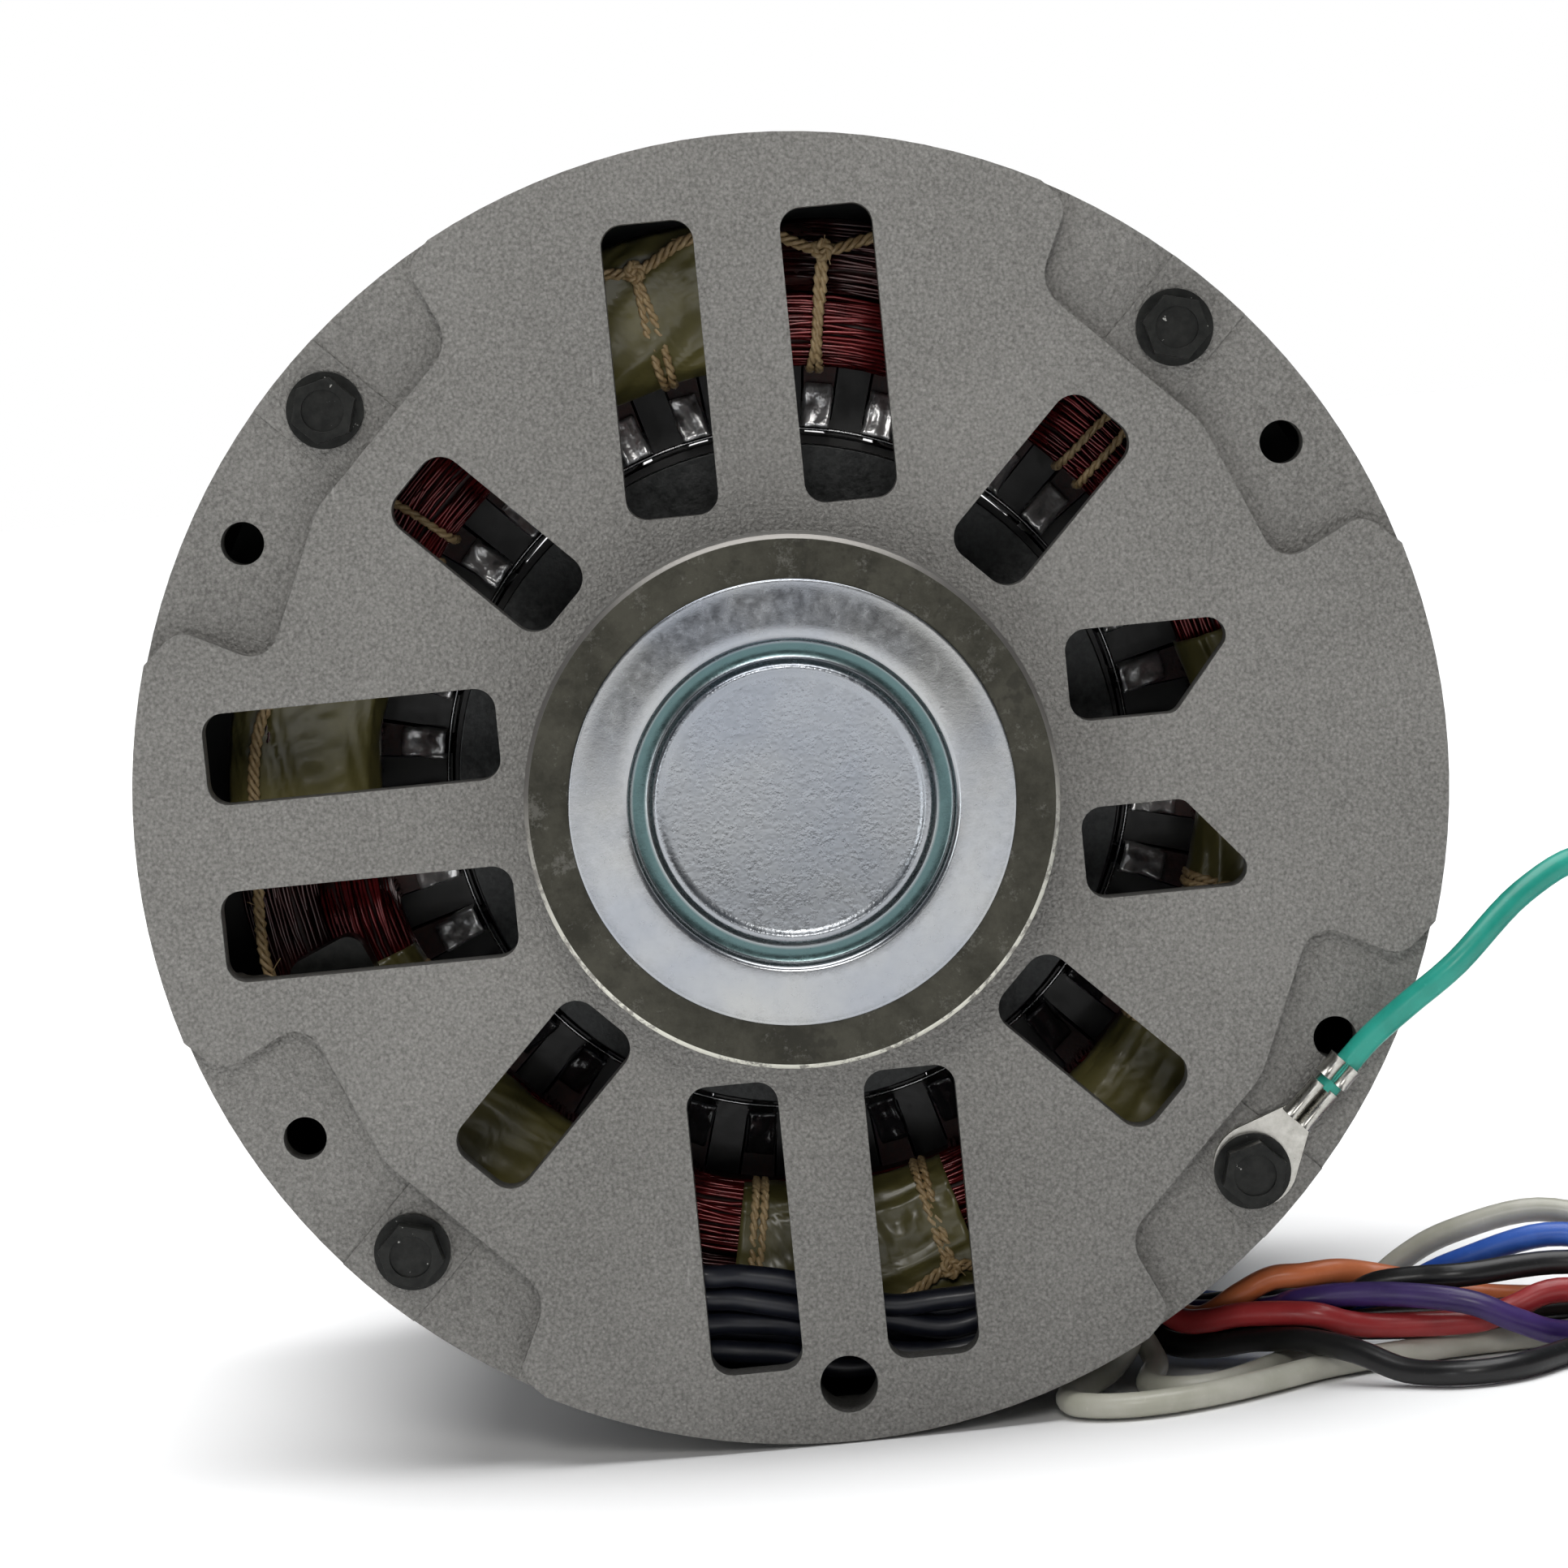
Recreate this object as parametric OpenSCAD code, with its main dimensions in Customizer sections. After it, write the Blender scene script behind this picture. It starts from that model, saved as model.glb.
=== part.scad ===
// Open direct-drive fan motor, 5-5/8 inch frame, with free leads.
// Millimetres. The shaft axis is the Y axis, the shaft points along +Y, +Z is up, and the origin is
// where the shaft axis meets the face of the shaft-end shield.
// Most modules are drawn about a local axis: local z is the distance from the shaft-end shield face
// towards the lead end, and lay_down() turns local z into -Y and local y into Z.

/* [Frame] */
// Outside diameter of the end shields
frame_d = 142.9; // [142:0.1:144]
// Distance between the faces of the two end shields
frame_length = 112; // [110:1:116]
// Thickness of the cast shield face
face_t = 4; // [3.5:0.5:5]
// Depth of the cast shield skirt behind its face
skirt_depth = 16; // [14:1:18]
// Diameter of the round mounting hub on each shield
hub_d = 57.15; // [56:0.05:58]
// Height of the mounting hub above the shield face
hub_h = 12; // [11:0.5:14]
// Wall thickness of the rolled steel shell
shell_t = 1.6; // [1.2:0.1:1.6]

/* [Vents and pads] */
// Width of the long vent slots
long_slot_w = 10; // [8:0.5:11]
// Distance of a long vent slot's middle from its midline
long_slot_offset = 9.7; // [8:0.1:10]
// Width of the diagonal vent slots
diagonal_slot_w = 9.4; // [8:0.2:10]
// Depth of the four recessed bolt pads
pad_drop = 3; // [1.5:0.5:3]
// Radius of the through-bolt circle
bolt_circle_r = 65.3; // [65:0.1:65.6]
// Radius of the screw-hole circle
hole_circle_r = 65.4; // [65:0.1:65.6]
// Diameter of the four small screw holes
hole_d = 4.7; // [4:0.1:5]
// Diameter of the single bottom hole
bottom_hole_d = 6.3; // [5:0.1:6.5]

/* [Stator and rotor] */
// Length of the stator and rotor stacks
stack_length = 38; // [34:1:40]
// Bore diameter of the stator stack
bore_d = 77.4; // [76.6:0.1:78.4]
// Number of stator slots
slot_count = 36; // [24, 36]
// Radial air gap between the rotor and the stator
air_gap = 0.35; // [0.25:0.05:0.5]
// Shaft diameter
shaft_d = 12.7; // [12:0.1:13]
// Length of shaft standing out of the shaft-end hub
shaft_out = 100; // [60:5:120]
// Radial running clearance of the sleeve bearings
bearing_clearance = 0.03; // [0.02:0.01:0.08]

/* [Leads] */
// Outside diameter of each insulated lead
lead_d = 2.8; // [2.4:0.1:2.8]
// Angle of the lead outlet in the shell, from +X towards +Z
outlet_angle = 298; // [296:1:299]

/* [Hidden] */
$fn = 96;
overlap = 0.01;

// Radii and places along the shaft, worked out from the driving sizes
frame_r = frame_d / 2;
skirt_t = 3.05;
shell_seat_depth = 5;
shell_r = frame_r - 1.2;
shell_inner_r = shell_r - shell_t;
core_r = shell_inner_r;
bore_r = bore_d / 2;
rotor_r = bore_r - air_gap;
shaft_r = shaft_d / 2;
hub_r = hub_d / 2;
core_start = (frame_length - stack_length) / 2;
core_end = core_start + stack_length;
hub_chamfer = 0.5;

// Bearing housing inside each hub
cavity_r = 20.2;
housing_r = 14;
bearing_r = 9.5;
bearing_in = 14;
bearing_out = 8;

// Fasteners
bolt_r = 2.08;
bolt_angles = [45, 135, 225, 315];
hole_angles = [30, 150, 210, 330];
strip_half_w = 5;
strip_h = 0.4;
pad_floor = -pad_drop;
head_seat = pad_floor + strip_h;
terminal_t = 0.8;

// Winding heads
crown_h = 19.5;
conductor_out = 2;
main_r = [55, 62.4];
start_r = [46.8, 54.2];
film_t = 0.25;
poles = 6;

// Rotor
end_ring_h = 9;
bar_count = 44;
bar_r = 1.9;
bar_circle_r = 35.3;
washer_t = 1;
end_play = 0.4;

// Lead outlet: ten holes in two rows of five
outlet_middle = core_end + 10.5;
outlet_pitch = 3.4;
outlet_row_offset = 2;
outlet_size = [18.8, 8];
outlet_face_r = shell_r + 1.55;

// Coil of the spare lead length, flat on the surface beside the motor
table_z = -frame_r;
coil_middle = [150, -41];
coil_outer_r = 58;
coil_inner_r = 24;
coil_z = [-70.85, -62.9];
lead_in_y = [-99, -87];
lead_in_x = 98;

// Routes of the leads, from the outlet to the coil: a list of [x, y, z] for each lead
ROUTE_ORANGE = [[35.5, -88, -62.5], [36.6, -88.6, -64.2], [38.4, -89.7, -65.2], [41, -91.4, -65.2],
    [45, -93.8, -62.6], [48.5, -93.8, -61.2], [52, -93.8, -61.2], [56, -92.6, -61.3], [60, -91.3, -62.3],
    [65, -92.8, -63.6], [70, -93, -65.3], [80, -91.2, -66.9], [90, -91, -67], [102, -90, -66.9]];
ROUTE_RED = [[35.5, -91.4, -62.5], [36.6, -92, -64.2], [38.4, -93.1, -65.2], [41, -94.8, -65.1],
    [45, -97, -64.4], [52, -100.3, -64.5], [56, -100.2, -65.9], [60, -99.5, -66.7], [70, -99.5, -67.2],
    [74.5, -98.8, -66.3], [80, -98.3, -64.9], [90, -97.3, -66.5], [102, -96, -66.9]];
ROUTE_BROWN_1 = [[31.9, -83, -64.3], [33.3, -83.8, -66.4], [37, -86.6, -68.2], [41, -89.5, -68.4],
    [45, -92.5, -67.6], [51, -97.3, -66.9], [60, -96, -66.6], [70, -95.8, -67], [80, -94.5, -67],
    [90, -94.2, -67.1], [102, -93, -66.9]];
ROUTE_BROWN_2 = [[31.9, -79.6, -64.3], [33.3, -80.4, -66.4], [37, -83, -68.2], [41, -85.8, -68.4],
    [45, -88.6, -68.3], [51, -93.2, -67.1], [54, -93.4, -67.4], [60, -92.4, -68.2], [70, -92.3, -69],
    [80, -91.5, -69.9], [90, -90.2, -69.9], [102, -88.5, -69.4]];
ROUTE_PURPLE = [[35.5, -84.6, -62.5], [36.6, -85.2, -64.2], [38.4, -86.3, -65.2], [41, -88, -65.3],
    [45, -90.7, -65], [48.5, -93.9, -64.5], [52, -97.2, -63.3], [60, -99.2, -63.2], [69, -102.2, -64.4],
    [74.5, -102.6, -67], [80, -100.7, -69.3], [90, -96.4, -70], [102, -94.5, -69.4]];
ROUTE_BLUE = [[35.5, -77.9, -62.5], [36.6, -78.5, -64.2], [38.4, -79.6, -65.2], [41, -81.2, -65.3],
    [45, -83.6, -65.6], [52, -88.3, -65.6], [56, -90, -65.2], [60, -90, -65.8], [65, -89.2, -64],
    [70, -90.3, -62], [80, -92, -59.6], [90, -94, -61.5], [102, -94.5, -64.4]];
ROUTE_BLACK_1 = [[35.5, -81.2, -62.5], [36.6, -81.8, -64.2], [38.4, -82.9, -65.2], [41, -84.6, -65.2],
    [45, -87.1, -64.7], [52, -91.9, -64.4], [56, -94.8, -64.2], [60, -95.8, -62.6], [65, -96.5, -62.3],
    [70, -97.3, -62.3], [80, -95.5, -62.2], [90, -96.8, -63.3], [102, -97.5, -64.4]];
ROUTE_BLACK_2 = [[31.9, -86.4, -64.3], [33.3, -87.3, -66.4], [37, -90.2, -68.2], [41, -93.4, -68.3],
    [45, -96.9, -67.4], [48, -99.6, -67.1], [51, -102.3, -67], [56, -106.9, -67.9], [61, -111, -69.8],
    [67, -114.5, -70], [73, -113.5, -70], [79, -108, -70], [84.5, -103, -70], [90, -99.6, -69.9],
    [102, -97.5, -69.4]];
ROUTE_WHITE_1 = [[31.9, -93, -64.3], [31.8, -94.4, -66.8], [29.3, -97.2, -69.2], [26, -101.5, -69.9],
    [24, -106, -70], [24.7, -111, -70], [29, -114, -70], [34.5, -114, -70], [41, -111.3, -70],
    [47, -107.2, -70], [53, -102.8, -70], [61, -99.5, -70], [70, -97.5, -70], [80, -96.5, -70],
    [90, -93.3, -70], [102, -91.5, -69.4]];
ROUTE_WHITE_2 = [[31.9, -89.8, -64.3], [33.5, -91.3, -66.9], [34.6, -94.8, -69.3], [33.6, -99.5, -69.9],
    [33.2, -103.5, -70], [35.2, -107, -70], [39, -108, -70], [43, -105.2, -70], [49, -97.5, -70],
    [52.5, -92.5, -70], [56, -88.4, -68.5], [59.5, -86, -65.5], [64, -85.4, -62], [70, -86, -59.2],
    [80, -87, -57.5], [90, -89.5, -60.3], [102, -91.5, -64.4]];
ROUTE_GREEN = [[57.7, -111.4, -35.1], [60.4, -112.3, -32.4], [64.5, -114.3, -29], [70, -115, -25],
    [78, -112, -18.5], [86, -109, -15.5], [94, -106, -19], [101, -102, -28], [107, -98, -40], [113, -94, -52],
    [120, -90.5, -60.5], [128, -88.7, -64.4]];

// ---- Helpers ----

// Turns the local axis into the shaft axis of the part
module lay_down() rotate([90, 0, 0]) children();

// A shield is drawn with its face at z = 0 and its outside towards +z
module at_lead_end() translate([0, 0, frame_length]) children();
module at_shaft_end() mirror([0, 0, 1]) children();

// The middle of the motor's length, for pieces that are the same at both ends
module far_end() translate([0, 0, frame_length]) mirror([0, 0, 1]) children();

function unit(v) = v / norm(v);
function dot(a, b) = a[0] * b[0] + a[1] * b[1];

// An outline whose corners are rounded: each corner has its own radius, 0 for sharp
function rounded(corners, radii, steps = 6) = [
    for (i = [0 : len(corners) - 1])
        let (
            n = len(corners),
            here = corners[i],
            back = unit(corners[(i + n - 1) % n] - here),
            ahead = unit(corners[(i + 1) % n] - here),
            half = acos(dot(back, ahead)) / 2,
            middle = here + unit(back + ahead) * radii[i] / sin(half),
            from = here + back * radii[i] / tan(half) - middle,
            to = here + ahead * radii[i] / tan(half) - middle
        )
        each radii[i] == 0 ? [here] : [
            for (k = [0 : steps])
                let (blend = unit(from * (steps - k) + to * k))
                middle + blend * radii[i]
        ]
];

module rounded_bar(size, r) {
    translate([r, 0]) square([size[0] - 2 * r, size[1]]);
    translate([0, r]) square([size[0], size[1] - 2 * r]);
    for (x = [r, size[0] - r], y = [r, size[1] - r])
        translate([x, y]) circle(r = r, $fn = 32);
}

module tube(outer, inner, from, to) {
    translate([0, 0, from]) difference() {
        cylinder(r = outer, h = to - from);
        translate([0, 0, -1]) cylinder(r = inner, h = to - from + 2);
    }
}

// ---- End shields ----

// Two parallel long slots, one each side of the midline at this angle
module long_slot_pair(angle) {
    inner = 31;
    outer = 62.9;
    rotate(angle) for (side = [-1, 1])
        translate([inner, side * long_slot_offset - long_slot_w / 2])
            rounded_bar([outer - inner, long_slot_w], 2.3);
}

// The short slots beside the lead side, slanted at their outer end
module short_slots() {
    corners = [[31, 4.7], [42.3, 4.7], [48.6, 12.2], [48.2, 14.7], [31, 14.7]];
    for (side = [0, 1]) mirror([0, side]) polygon(rounded(corners, [2.3, 1.5, 1.6, 2, 2.3]));
}

module diagonal_slot(angle) {
    inner = 31.7;
    outer = 53.4;
    rotate(angle) translate([inner, -diagonal_slot_w / 2])
        rounded_bar([outer - inner, diagonal_slot_w], 2.6);
}

module vents() {
    for (angle = [90, 180, 270]) long_slot_pair(angle);
    short_slots();
    for (angle = bolt_angles) diagonal_slot(angle);
}

// One of the four recessed pads, with an ogee at each end
module pad_outline() {
    beyond = frame_r + 10;
    corners = [[29, 67.5], [35.8, 60.6], [31.8, 52], [48, 35.8], [55, 19.4], [64.5, 24.2], [73, 16.5],
        [beyond, 16.5], [beyond, beyond], [29, beyond]];
    polygon(rounded(corners, [0, 2.5, 4, 8, 3, 3, 0, 0, 0, 0]));
}

// The thicker metal that carries a pad, seen from inside
module pad_backing() {
    beyond = frame_r + 10;
    polygon([[27, 66], [28.5, 51], [46, 33.4], [52.5, 17.5], [60, 14.5], [beyond, 12], [beyond, beyond],
        [27, beyond]]);
}

module in_four_quadrants() {
    for (x = [0, 1], y = [0, 1]) mirror([x, 0]) mirror([0, y]) children();
}

module shield_plate() {
    boss_depth = 8;
    translate([0, 0, -face_t]) linear_extrude(face_t) difference() {
        circle(r = frame_r);
        in_four_quadrants() pad_outline();
    }
    translate([0, 0, pad_floor - face_t]) linear_extrude(face_t) intersection() {
        circle(r = frame_r);
        in_four_quadrants() pad_outline();
    }
    translate([0, 0, pad_floor - face_t]) linear_extrude(pad_drop + overlap) intersection() {
        circle(r = frame_r);
        in_four_quadrants() pad_backing();
    }
    for (angle = bolt_angles)
        translate([0, 0, pad_floor - 1]) linear_extrude(strip_h + 1) intersection() {
            circle(r = frame_r);
            rotate(angle) translate([58, -strip_half_w]) square([20, 2 * strip_half_w]);
        }
    translate([0, -hole_circle_r, -boss_depth]) cylinder(r = 5.2, h = boss_depth - 1);
    tube(frame_r, frame_r - skirt_t, -skirt_depth, -face_t);
}

module shield_hub() {
    floor_t = face_t;
    rotate_extrude() polygon([[cavity_r, -floor_t], [hub_r, -floor_t], [hub_r, hub_h - hub_chamfer],
        [hub_r - hub_chamfer, hub_h], [cavity_r, hub_h]]);
    tube(hub_r - 1, bearing_r, -floor_t, 0);
    tube(housing_r, bearing_r, -bearing_in, bearing_out - 1);
}

module shield() {
    difference() {
        union() {
            difference() {
                shield_plate();
                translate([0, 0, -2 * skirt_depth]) linear_extrude(3 * skirt_depth) vents();
                translate([0, 0, -face_t - 5]) cylinder(r = hub_r - 1.5, h = face_t + 6);
            }
            shield_hub();
        }
        translate([0, 0, -skirt_depth - 1])
            cylinder(r = shell_r + 0.05, h = shell_seat_depth + 1);
        for (angle = bolt_angles) rotate(angle)
            translate([bolt_circle_r, 0, -2 * skirt_depth]) cylinder(r = bolt_r + 0.22, h = 3 * skirt_depth);
        for (angle = hole_angles) rotate(angle)
            translate([hole_circle_r, 0, -2 * skirt_depth]) cylinder(d = hole_d, h = 3 * skirt_depth);
        translate([0, -hole_circle_r + 0.3, -2 * skirt_depth])
            cylinder(d = bottom_hole_d, h = 3 * skirt_depth);
    }
}

module lead_end_shield() {
    color([0.58, 0.57, 0.55]) lay_down() at_lead_end() shield();
}

module shaft_end_shield() {
    color([0.58, 0.57, 0.55]) lay_down() at_shaft_end() shield();
}

// ---- Shell and what is on it ----

module outlet_place() {
    rotate(outlet_angle) translate([0, 0, outlet_middle]) rotate([0, 90, 0]) rotate(180) children();
}

module shell() {
    start = skirt_depth - shell_seat_depth;
    color([0.12, 0.12, 0.13]) lay_down() difference() {
        tube(shell_r, shell_inner_r, start, frame_length - start);
        outlet_place() translate([0, 0, shell_r - 4]) linear_extrude(8)
            translate(-outlet_size / 2) rounded_bar(outlet_size, 2.5);
    }
}

module lead_grommet() {
    flange = [20.8, 10.8];
    inner_face = shell_inner_r - 0.4;
    color([0.06, 0.06, 0.06]) lay_down() outlet_place() difference() {
        union() {
            translate([0, 0, shell_r + 0.05]) linear_extrude(outlet_face_r - shell_r - 0.05)
                translate(-flange / 2) rounded_bar(flange, 4);
            translate([0, 0, inner_face]) linear_extrude(shell_r + 0.05 - inner_face)
                translate(-outlet_size / 2 + [0.05, 0.05]) rounded_bar(outlet_size - [0.1, 0.1], 2.4);
        }
        for (row = [-1, 1], i = [-2 : 2])
            translate([(i + row / 4) * outlet_pitch, row * outlet_row_offset, inner_face - 1])
                cylinder(d = lead_d + 0.02, h = 6, $fn = 32);
    }
}

module data_plate() {
    color([0.75, 0.75, 0.74]) lay_down() translate([0, 0, 28])
        rotate_extrude(angle = 58, start = 62, $fn = 180)
            translate([shell_r + 0.01, 0]) square([0.2, 56]);
}

// ---- Stator ----

module slot_outline() {
    polygon([[bore_r - 1, -1.2], [bore_r + 0.8, -1.2], [40.4, -1.75], [56.8, -2.9], [58, -1.8],
        [58, 1.8], [56.8, 2.9], [40.4, 1.75], [bore_r + 0.8, 1.2], [bore_r - 1, 1.2]]);
}

module around_slots() {
    for (i = [0 : slot_count - 1]) rotate(i * 360 / slot_count) children();
}

module stator_core() {
    color([0.13, 0.13, 0.14]) lay_down() translate([0, 0, core_start]) linear_extrude(stack_length)
        difference() {
            circle(r = core_r);
            circle(r = bore_r);
            around_slots() slot_outline();
            for (angle = bolt_angles) rotate(angle) translate([bolt_circle_r, 0])
                circle(r = bolt_r + 0.4, $fn = 32);
        }
}

// The film wedge that closes each slot behind its opening, and stands out at both ends
module slot_wedges() {
    wedge_out = 4;
    color([0.75, 0.77, 0.8, 0.8]) lay_down() translate([0, 0, core_start - wedge_out])
        linear_extrude(stack_length + 2 * wedge_out) around_slots()
            polygon([[40.2, -1.5], [41.7, -1.65], [41.7, 1.65], [40.2, 1.5]]);
}

module slot_conductors() {
    color([0.5, 0.09, 0.08]) lay_down() translate([0, 0, core_start - conductor_out])
        linear_extrude(stack_length + 2 * conductor_out) around_slots()
            polygon([[42.1, -1.6], [56.4, -2.5], [57.4, -1.6], [57.4, 1.6], [56.4, 2.5], [42.1, 1.6]]);
}

// The winding heads at the lead end: one rounded bundle per pole, in a ring
module coil_heads(radii, height, first, span) {
    width = radii[1] - radii[0];
    base = core_end + conductor_out;
    corners = [[radii[0], base], [radii[1], base], [radii[1], base + height], [radii[0], base + height]];
    for (i = [0 : poles - 1]) rotate(first + i * 360 / poles)
        rotate_extrude(angle = span, start = -span / 2)
            polygon(rounded(corners, [1, 1, width / 2.6, width / 2.6]));
}

module main_heads() coil_heads(main_r, crown_h - conductor_out, 0, 56);
module start_heads() coil_heads(start_r, crown_h - conductor_out - 2, 30, 56);

module main_winding_lead_end() {
    color([0.48, 0.08, 0.07]) lay_down() main_heads();
}

module main_winding_shaft_end() {
    color([0.48, 0.08, 0.07]) lay_down() far_end() main_heads();
}

module start_winding_lead_end() {
    color([0.42, 0.07, 0.06]) lay_down() start_heads();
}

module start_winding_shaft_end() {
    color([0.42, 0.07, 0.06]) lay_down() far_end() start_heads();
}

// Insulating film folded over the winding heads: [start angle, span] of each sheet
module film_sheets() {
    crown = core_end + crown_h + 0.05;
    skirt = core_end + 6;
    inner = 47.2;
    outer = 62.8;
    for (sheet = [[92, 32], [157, 25], [198, 50], [258, 28], [290, 44], [338, 36]])
        rotate_extrude(angle = sheet[1], start = sheet[0])
            polygon([[inner, crown], [outer, crown], [outer, skirt], [outer + film_t, skirt],
                [outer + film_t, crown + film_t], [inner, crown + film_t]]);
}

module phase_insulation_lead_end() {
    color([0.45, 0.4, 0.22]) lay_down() film_sheets();
}

module phase_insulation_shaft_end() {
    color([0.45, 0.4, 0.22]) lay_down() far_end() film_sheets();
}

// Lacing cord: a stitch across the crown every 20 degrees
module stitches() {
    cord_r = 0.5;
    stitch_count = 18;
    for (i = [0 : stitch_count - 1]) rotate(i * 360 / stitch_count + 6)
        translate([46.2, 0, core_end + crown_h + film_t + 0.1 + cord_r]) rotate([0, 90, 0])
            cylinder(r = cord_r, h = 17, $fn = 24);
}

module lacing_lead_end() {
    color([0.72, 0.5, 0.3]) lay_down() stitches();
}

module lacing_shaft_end() {
    color([0.72, 0.5, 0.3]) lay_down() far_end() stitches();
}

// Sleeved leads that run round inside the shield to the outlet: [radius, distance in front of the core]
module internal_leads() {
    sleeve_r = 1.3;
    color([0.05, 0.05, 0.06]) lay_down()
        for (run = [[65.6, 22.5], [65.6, 25.5], [62.6, 24], [62.6, 27], [59.6, 25.5], [58.4, 28.5],
                [55.7, 27.3], [55.7, 30.3]])
            rotate_extrude(angle = 42, start = 252)
                translate([run[0], core_end + run[1]]) circle(r = sleeve_r, $fn = 24);
}

module thermal_protector() {
    can = [9, 18, 5];
    color([0.7, 0.68, 0.6]) lay_down() rotate(203)
        translate([50, -can[1] / 2, core_end + crown_h + 1.6]) linear_extrude(can[2])
            rounded_bar([can[0], can[1]], 2);
}

// ---- Through bolts ----

module bolt_head(seat) {
    washer_h = 1;
    hex_h = 3.2;
    hex_r = 6.35 / sqrt(3);
    translate([0, 0, seat]) difference() {
        union() {
            cylinder(r = 4.2, h = washer_h);
            cylinder(r = hex_r, h = washer_h + hex_h, $fn = 6);
        }
        translate([0, 0, washer_h + hex_h - 0.5]) cylinder(r = 2.3, h = 1, $fn = 48);
    }
}

module through_bolts() {
    tail = head_seat + 6;
    color([0.08, 0.08, 0.08]) lay_down() for (angle = bolt_angles) rotate(angle)
        translate([bolt_circle_r, 0, 0]) {
            lift = angle == 315 ? terminal_t : 0;
            bolt_head(frame_length + head_seat + lift);
            translate([0, 0, -tail])
                cylinder(r = bolt_r, h = frame_length + head_seat + tail + lift, $fn = 32);
        }
}

module bolt_nuts() {
    nut_h = 3.2;
    nut_r = 8.7 / sqrt(3);
    color([0.55, 0.55, 0.56]) lay_down() for (angle = bolt_angles) rotate(angle)
        translate([bolt_circle_r, 0, -head_seat - nut_h]) difference() {
            cylinder(r = nut_r, h = nut_h, $fn = 6);
            translate([0, 0, -1]) cylinder(r = bolt_r, h = nut_h + 2, $fn = 32);
        }
}

module ground_terminal() {
    ring_r = 4.6;
    ring_offset = 0.6;
    barrel_start = 7.2;
    barrel_l = 8.6;
    barrel_r = 1.95;
    color([0.8, 0.79, 0.75]) lay_down()
        translate([bolt_circle_r * cos(315), bolt_circle_r * sin(315), frame_length + head_seat])
        rotate(44.3) difference() {
            union() {
                hull() {
                    translate([ring_offset, 0, 0]) cylinder(r = ring_r, h = terminal_t);
                    translate([barrel_start - 0.4, -1.7, 0]) cube([1, 3.4, terminal_t]);
                }
                translate([barrel_start, 0, barrel_r]) rotate([0, 90, 0])
                    cylinder(r = barrel_r, h = barrel_l);
            }
            translate([0, 0, -1]) cylinder(r = bolt_r + 0.1, h = 3, $fn = 32);
        }
}

// ---- Bearings and caps ----

module sleeve_bearing() tube(bearing_r, shaft_r + bearing_clearance, -bearing_in, bearing_out);

module lead_end_bearing() {
    color([0.62, 0.45, 0.22]) lay_down() at_lead_end() sleeve_bearing();
}

module shaft_end_bearing() {
    color([0.62, 0.45, 0.22]) lay_down() at_shaft_end() sleeve_bearing();
}

module felt_wick() tube(cavity_r - 0.1, housing_r + 0.1, 0.1, 6.5);

module lead_end_wick() {
    color([0.85, 0.82, 0.72]) lay_down() at_lead_end() felt_wick();
}

module shaft_end_wick() {
    color([0.85, 0.82, 0.72]) lay_down() at_shaft_end() felt_wick();
}

module bearing_retainer() tube(cavity_r - 0.05, shaft_r + 0.8, bearing_out, bearing_out + 0.8);

module lead_end_retainer() {
    color([0.66, 0.66, 0.66]) lay_down() at_lead_end() bearing_retainer();
}

module shaft_end_retainer() {
    color([0.66, 0.66, 0.66]) lay_down() at_shaft_end() bearing_retainer();
}

// A pressed steel cap: a flange on the hub, a rolled groove and a slightly lower middle disc
module hub_cap(middle_r) {
    flange_r = 24;
    sheet = 0.9;
    top = hub_h + sheet;
    groove_outer = 17.25;
    groove_inner = 15.45;
    groove_floor = top - 1.3;
    disc_top = top - 0.35;
    corners = [[middle_r, disc_top - sheet], [groove_inner - sheet, disc_top - sheet],
        [groove_inner - sheet, groove_floor - sheet], [groove_outer + sheet, groove_floor - sheet],
        [groove_outer + sheet, hub_h], [flange_r, hub_h], [flange_r, top], [groove_outer, top],
        [groove_outer, groove_floor], [groove_inner, groove_floor], [groove_inner, disc_top],
        [middle_r, disc_top]];
    rotate_extrude() polygon(rounded(corners, [0, 0.2, 0.2, 0.2, 0.2, 0.1, 0.4, 0.5, 0.4, 0.4, 0.5, 0], 4));
    tube(cavity_r - 0.05, cavity_r - 0.75, bearing_out + 0.9, hub_h + 0.2);
}

module lead_end_cap() {
    color([0.72, 0.74, 0.76]) lay_down() at_lead_end() hub_cap(0);
}

module shaft_end_cap() {
    color([0.72, 0.74, 0.76]) lay_down() at_shaft_end() hub_cap(shaft_r + 1);
}

// ---- Rotor ----

shaft_lead_tip = frame_length + bearing_out + 1.6;
shaft_drive_tip = -hub_h - shaft_out;
slinger_t = 1.6;
slinger_start = -hub_h - 1.8;
groove_r = 5.95;
ring_w = 1;
// Inner retaining rings: the groove next to each thrust washer
ring_places = [bearing_in + end_play + washer_t, frame_length - bearing_in - end_play - washer_t - ring_w];

module rotor_shaft() {
    chamfer = 0.8;
    flat_depth = 0.8;
    flat_length = shaft_out - 10;
    flat_turn = -22.5;
    color([0.62, 0.63, 0.64]) lay_down() difference() {
        rotate_extrude() polygon([[0, shaft_drive_tip], [shaft_r - chamfer, shaft_drive_tip],
            [shaft_r, shaft_drive_tip + chamfer], [shaft_r, shaft_lead_tip - chamfer],
            [shaft_r - chamfer, shaft_lead_tip], [0, shaft_lead_tip]]);
        rotate(flat_turn) translate([-shaft_d, shaft_r - flat_depth, shaft_drive_tip - 1])
            cube([2 * shaft_d, shaft_d, flat_length + 1]);
        for (place = ring_places) tube(shaft_d, groove_r, place, place + ring_w);
        tube(shaft_d, groove_r, slinger_start - slinger_t, slinger_start);
    }
}

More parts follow.
